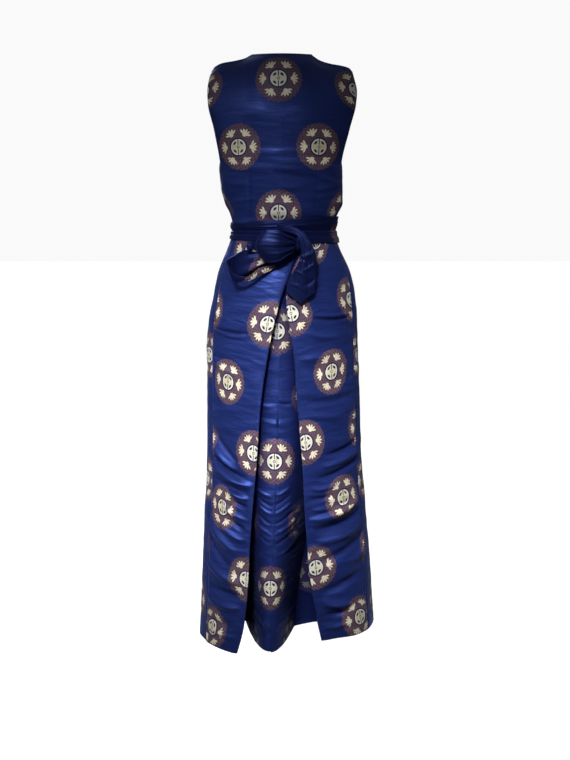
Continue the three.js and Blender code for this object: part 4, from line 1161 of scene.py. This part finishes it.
def round_height(sizes, angle):
    side = math.sin(angle)
    middle = (sizes["left"] + sizes["right"]) / 2
    ends = lerp(middle, sizes["left"] if side > 0 else sizes["right"], abs(side))
    return lerp(ends, sizes["front"], smooth(0.2, -0.8, math.cos(angle)))


def waist_point(z, turn, out):
    """A point of the robe's ring near the waist, moved out, by degrees from the middle of the back."""
    spread = (near_waist_back if z > WAIST_Z else skirt_row)(z).spread
    front = abs(turn) > spread
    across = (180 - abs(turn)) / (180 - spread) if front else abs(turn) / spread
    across = math.copysign(across, turn)
    if z <= WAIST_Z:
        return arc_point(skirt_arc(z, front, out), across)
    row = (near_waist_front if front else near_waist_back)(z)
    seam = math.sin(spread * DEGREE)
    row.left += out * seam
    row.right += out * seam
    row.mid_y += -out if front else out
    row.edge_z = z
    return arc_point(row, across)


# Folds of the band, in shares of its width: where each lies at its highest and lowest and how wide it is,
# with its height in millimetres
BAND_FOLDS = [
    (0.22, 0.30, 0.030, 1.1),
    (0.40, 0.36, 0.028, -1.3),
    (0.52, 0.46, 0.030, -1.4),
    (0.60, 0.58, 0.034, 1.2),
    (0.74, 0.66, 0.030, -1.1),
    (0.86, 0.80, 0.036, 0.9),
]


def make_band():
    grid = np.zeros((BAND_LINES + 1, BAND_COLUMNS, 3))
    for i, share in enumerate(steps(BAND_LINES)):
        fold = band_row(share)
        for j in range(BAND_COLUMNS):
            turn = 180 - 360 * (j + 0.5) / BAND_COLUMNS
            angle = turn * DEGREE
            z = lerp(round_height(BAND_TOP, angle), round_height(BAND_FOOT, angle), share)
            x = waist_point(z, turn, 0).x
            near = smooth(PLEAT_ROOM["far"], PLEAT_ROOM["near"], abs(x - PLEAT_ROOM["middle"]))
            room = PLEAT_ROOM["out"] * near if abs(turn) < 90 else 0
            wave = 0
            for start, end, wide, tall in BAND_FOLDS:
                place = lerp(start, end, 0.5 + 0.5 * math.sin(angle * 2 + 0.8))
                wave += tall * math.exp(-(((share - place) / wide) ** 2))
            x, y = math.sin(angle) * BAND_UNEVEN["turns"], math.cos(angle) * BAND_UNEVEN["turns"]
            spot = Vector((x, y, share * BAND_UNEVEN["rows"] + BAND_UNEVEN["seed"]))
            wave *= smooth(0, 0.12, share) * smooth(1, 0.9, share)
            wave += BAND_UNEVEN["height"] * noise.noise(spot)
            grid[i, j] = waist_point(z, turn, BAND_CLEAR + room + fold.out + wave)
    cloth = np.zeros((BAND_LINES + 1, BAND_COLUMNS + 1, 2))
    past = np.arange(BAND_COLUMNS + 1) / BAND_COLUMNS - BAND_DRIFT["start"]
    drift = BAND_DRIFT["most"] * np.clip(past * BAND_DRIFT["rate"], 0, 1)
    for i, share in enumerate(steps(BAND_LINES)):
        cloth[i, :, 0] = arc_lengths(np.vstack([grid[i], grid[i][:1]])) + BAND_MAP["start"]
        cloth[i, :, 1] = BAND_MAP["level"] - BAND_MAP["width"] * (share - 0.5) + drift * share
    piece = sew("sash_band_cloth", grid, cloth * MM, ring=True)
    piece.data.materials[0] = shaded_sash_brocade
    return piece


sash_band = make_band()
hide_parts("sash_band")

# The bow's loops
# Strips of the sash that leave the knot and turn back to it, gathered at the knot and full at the turn.
# The knot alone holds them.
STRIP = "step ax ay az bx by bz puff gather"  # edges a and b, how full it is and how deeply gathered
UPPER_LOOP_ROWS = [
    (0, -28.4, 103.6, -420, -29.2, 103, -446, 0, 1.6),
    (1, 4, 107, -408, 4, 108, -464, -1, 1.2),
    (2, 30, 107, -402, 30, 109, -472, 0, 0.3),
    (3, 44, 115, -402, 41, 117, -472, 17, 0),
    (4, 33, 125, -399, 29, 128, -476, 9, 0.3),
    (5, 10, 128, -400, 9, 131, -473, 6, 1.0),
    (6, -12, 123, -411, -12, 124, -459, 2, 2.0),
    (7, -28, 115, -418, -28, 115, -450, 0, 2.4),
]
LOWER_LOOP_ROWS = [
    (0, -28.8, 95, -440, -29.4, 96, -447, 0, 0.4),
    (1, 20, 96, -448, 20, 101, -470, 0, 0.8),
    (2, 58, 96, -452, 58, 102, -486, 0, 0.8),
    (3, 84, 97, -447, 84, 98, -502, 0, 0.4),
    (4, 109, 101, -459, 104, 96, -510, 0, 0),
    (5, 128, 111, -472, 116, 105, -514, 2, 0),
    (6, 122, 119, -484, 114, 114, -517, 2, 0),
    (7, 104, 122, -503, 101, 117, -520, 1, 0),
    (8, 81, 122, -507, 82, 118, -519, 1, 0),
    (9, 51, 121, -487, 50, 117, -504, 1, 0.3),
    (10, 23, 117, -480, 20, 113, -490, 0, 0.4),
    (11, -31, 104, -450, -31, 101, -455, 0, 0.4),
]
SMALL_LOOP_ROWS = [
    (0, 32, 102, -428, 32, 102.4, -444, 0, 0),
    (1, 57, 100.8, -427, 57, 101.4, -447, 0, 0),
    (2, 80, 106, -430, 78, 107, -450, 3, 0),
    (3, 69, 112, -431, 68, 112, -444, 0, 0),
]
GATHERS = dict(reach=34, share=2.6, slant=0.06)
KNOT = dict(x=-37.5, y=98.2, z=-432, half_x=9.4, half_y=12.5, half_z=21, turns=5, groove=0.05)


def make_strip(
    name,
    table,
    rows,
    columns,
    waves,
    across_at,
    along_at=0.0,
    width=1.0,
    fine=0.6,
    keep=1.0,
    point=0,
    folds=(),
):
    """A strip between two edges, a and b, in waves, with fine gathers by the knot. across_at and
    along_at place the woven pattern, and width is the share of it that shows across."""
    at = curves_through(STRIP, table)
    last = len(table) - 1

    def edges(step):
        row = at(min(last, max(0, step)))
        return Vector((row.ax, row.ay, row.az)), Vector((row.bx, row.by, row.bz)), row

    grid = np.zeros((rows + 1, columns + 1, 3))
    cloth = np.zeros((rows + 1, columns + 1, 2))
    along, before = along_at, None
    for i, v in enumerate(steps(rows)):
        step = v * last
        a, b, row = edges(step)
        a0, b0, _ = edges(step - 0.1)
        a1, b1, _ = edges(step + 0.1)
        out = (b - a).cross(a1 + b1 - a0 - b0).normalized()
        middle = (a + b) / 2
        along += 0 if before is None else (middle - before).length
        before = middle
        away = math.hypot(middle.x - KNOT["x"], middle.z - KNOT["z"])
        gathered = fine * math.exp(-away / GATHERS["reach"])
        for j, u in enumerate(steps(columns)):
            wave = 2 * math.pi * waves * u
            lift = row.puff * math.sin(math.pi * u) + row.gather * keep * math.sin(wave)
            lift += gathered * math.sin(GATHERS["share"] * wave + GATHERS["slant"] * away)
            lift *= 1 if 0 < j < columns else 0.4
            p = a.lerp(b, u) + out * lift
            p.z -= point * (1 - abs(2 * u - 1)) * smooth(last - 2, last, step)
            grid[i, j] = p
            cloth[i, j] = along, across_at - (u - 0.5) * (b - a).length * width
    if folds:
        lift = np.clip(creases(grid[..., 0], grid[..., 2], folds), -FOLD_MOST, FOLD_MOST)
        lift *= ease_at_edges(lift.shape, 10, 3, 3)
        grid = grid + square_out(grid, INSIDE_TAIL) * lift[..., None]
    piece = sew(name, grid, cloth * MM, out_sign=-1)
    piece.data.materials[0] = shaded_sash_brocade
    piece.data.materials[1] = shaded_sash_brocade
    return piece


FOLD_MOST = 2
INSIDE_TAIL = np.array([-20.0, 60.0, -470.0])
loop_upper = make_strip(
    "sash_loop_upper_cloth",
    UPPER_LOOP_ROWS,
    rows=110,
    columns=44,
    waves=3,
    across_at=BAND_MAP["level"],
    width=0.5,
    fine=1.5,
)
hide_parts("sash_loop_upper")
loop_lower = make_strip(
    "sash_loop_lower_cloth",
    LOWER_LOOP_ROWS,
    rows=130,
    columns=28,
    waves=2,
    across_at=38,
    along_at=-250,
    width=0.9,
)
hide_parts("sash_loop_lower")
loop_small = make_strip(
    "sash_loop_small_cloth", SMALL_LOOP_ROWS, rows=60, columns=16, waves=1, across_at=BAND_MAP["level"]
)
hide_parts("sash_loop_small")

# The tail
# The sash's free end, of the same brocade, which comes over the band, falls beside the knot and is cut
# to a point. The knot holds its upper part.
TAIL_ROWS = [
    (0, 11, 83.6, -388, 12, 83.8, -399, 0, 0.4),
    (1, -16, 92, -391, -11, 100, -407, 3, 1.2),
    (2, -42, 98, -402, -32, 113, -412, 3, 1.6),
    (3, -58, 102, -417, -41, 118, -426, 4, 2.0),
    (4, -71, 106, -438, -44, 121, -452, 5, 1.8),
    (5, -78, 110, -461, -34, 122, -472, 5, 1.2),
    (6, -78, 113, -485, -24, 122, -492, 4, 0.8),
    (7, -78, 116, -513, -16, 123, -517, 3, 0.6),
    (8, -75, 118, -543, -9, 123, -543, 3, 0.4),
]
TAIL_POINT = 27
TAIL_FOLDS = [
    (-78, -446, -44, -462, 3, 4, 2.0),
    (-64, -476, -34, -464, -3, 3, -1.6),
    (-80, -470, -44, -494, 4, 4, 2.0),
    (-66, -516, -24, -492, -4, 3, 1.8),
    (-80, -506, -44, -528, 4, 4, -1.8),
    (-62, -546, -18, -522, -4, 3, 1.8),
]
tail = make_strip(
    "sash_tail_cloth",
    TAIL_ROWS,
    rows=110,
    columns=48,
    waves=2.5,
    across_at=72,
    along_at=-122,
    fine=1.2,
    keep=0.25,
    point=TAIL_POINT,
    folds=TAIL_FOLDS,
)
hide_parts("sash_tail")

# The knot
# A tight wad of the sash at the bow's middle, seamed by its turns. It is the same brocade, drawn tight
# round itself.
KNOT_LINES, KNOT_COLUMNS = 36, 56


def make_knot():
    rows, around = KNOT_LINES, KNOT_COLUMNS
    grid = np.zeros((rows + 1, around, 3))
    cloth = np.zeros((rows + 1, around, 2))
    for i in range(rows + 1):
        tilt = math.pi * lerp(0.02, 0.98, i / rows)
        for j in range(around):
            turn = -2 * math.pi * j / around
            x, y, z = math.cos(tilt), math.sin(tilt) * math.cos(turn), math.sin(tilt) * math.sin(turn)
            crease = abs(math.sin(KNOT["turns"] * turn / 2 + 1.6 * x))
            round_in = 1 - KNOT["groove"] * math.cos(KNOT["turns"] * turn) - 0.07 * (1 - crease) ** 3
            grid[i, j] = (
                KNOT["x"] + KNOT["half_x"] * x,
                KNOT["y"] + KNOT["half_y"] * y * round_in,
                KNOT["z"] + KNOT["half_z"] * z * round_in,
            )
            cloth[i, j] = 20 * math.cos(turn), BAND_MAP["level"] + 9 * x
    faces = []
    for i in range(rows):
        here, below_it = i * around, (i + 1) * around
        for j in range(around):
            after = (j + 1) % around
            faces.append([here + j, below_it + j, below_it + after, here + after])
    faces += [list(range(around)), [rows * around + j for j in reversed(range(around))]]
    mesh = bpy.data.meshes.new("sash_knot_cloth")
    mesh.from_pydata((grid.reshape(-1, 3) * MM).tolist(), [], faces)
    flat = (cloth * MM).reshape(-1, 2)
    layer = mesh.uv_layers.new(name="cloth")
    layer.data.foreach_set("uv", np.array([flat[k] for face in faces for k in face], np.float32).ravel())
    mesh.polygons.foreach_set("use_smooth", [True] * len(mesh.polygons))
    knot = bpy.data.objects.new("sash_knot_cloth", mesh)
    bpy.context.scene.collection.objects.link(knot)
    mesh.materials.append(shaded_sash_brocade)
    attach(knot, "root")
    return knot


knot = make_knot()
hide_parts("sash_knot")

# The floor and the light
# A plain pale floor well under the hem, four soft lights and a pale surround. The floor and the
# surround look pale, and give less light than they show.
FLOOR_Z = -1.62
FLOOR_SHADE, FLOOR_GLOW = (0.22, 0.22, 0.22, 1), 0.95
SURROUND, SURROUND_LIGHT, SURROUND_SEEN = (0.95, 0.95, 0.95, 1), 0.20, 1.0
bpy.ops.mesh.primitive_plane_add(size=40, location=(0, 0, FLOOR_Z))
floor = bpy.context.object
floor.name = "Floor"
paper = bpy.data.materials.new("Pale floor")
paper.use_nodes = True
paper_shader = paper.node_tree.nodes["Principled BSDF"]
paper_shader.inputs["Base Color"].default_value = FLOOR_SHADE
paper_shader.inputs["Roughness"].default_value = 0.9
paper_shader.inputs["Emission Color"].default_value = (1, 1, 1, 1)
paper_formula = Formula(paper.node_tree)
seen_floor = paper_formula.node("ShaderNodeLightPath")
paper_formula.link(paper_formula.times(seen_floor, FLOOR_GLOW), paper_shader.inputs["Emission Strength"])
floor.data.materials.append(paper)


def soft_light(name, place, aim, size, power, spread=math.pi):
    bpy.ops.object.light_add(type="AREA", location=place)
    light = bpy.context.object
    light.name = name
    light.rotation_euler = (Vector(aim) - Vector(place)).to_track_quat("-Z", "Y").to_euler()
    light.data.shape = "RECTANGLE"
    light.data.size, light.data.size_y = size
    light.data.energy = power
    light.data.spread = spread


soft_light("Key light", (0.55, 2.05, 1.0), (0, 0.1, -0.86), (1.5, 0.7), 10.5, spread=0.36)
soft_light("Low light", (0.3, 2.4, -0.95), (0, 0.1, -0.7), (0.7, 0.5), 0.25, spread=0.55)
soft_light("Side light", (2.6, 1.6, 0.4), (0, 0, -0.7), (1.0, 2.2), 4.5)
soft_light("Front light", (0.6, -3.0, 1.0), (0, 0, -0.7), (2.0, 2.0), 85)

world = bpy.data.worlds.new("Pale surround")
world.use_nodes = True
bpy.context.scene.world = world
bpy.context.scene.view_settings.view_transform = "Standard"
world_formula = Formula(world.node_tree)
seen_sky = world_formula.node("ShaderNodeLightPath")
strength = world_formula.pick(seen_sky, SURROUND_LIGHT, SURROUND_SEEN)
sky = world.node_tree.nodes["Background"]
world_formula.link(strength, sky.inputs["Strength"])
sky.inputs["Color"].default_value = SURROUND
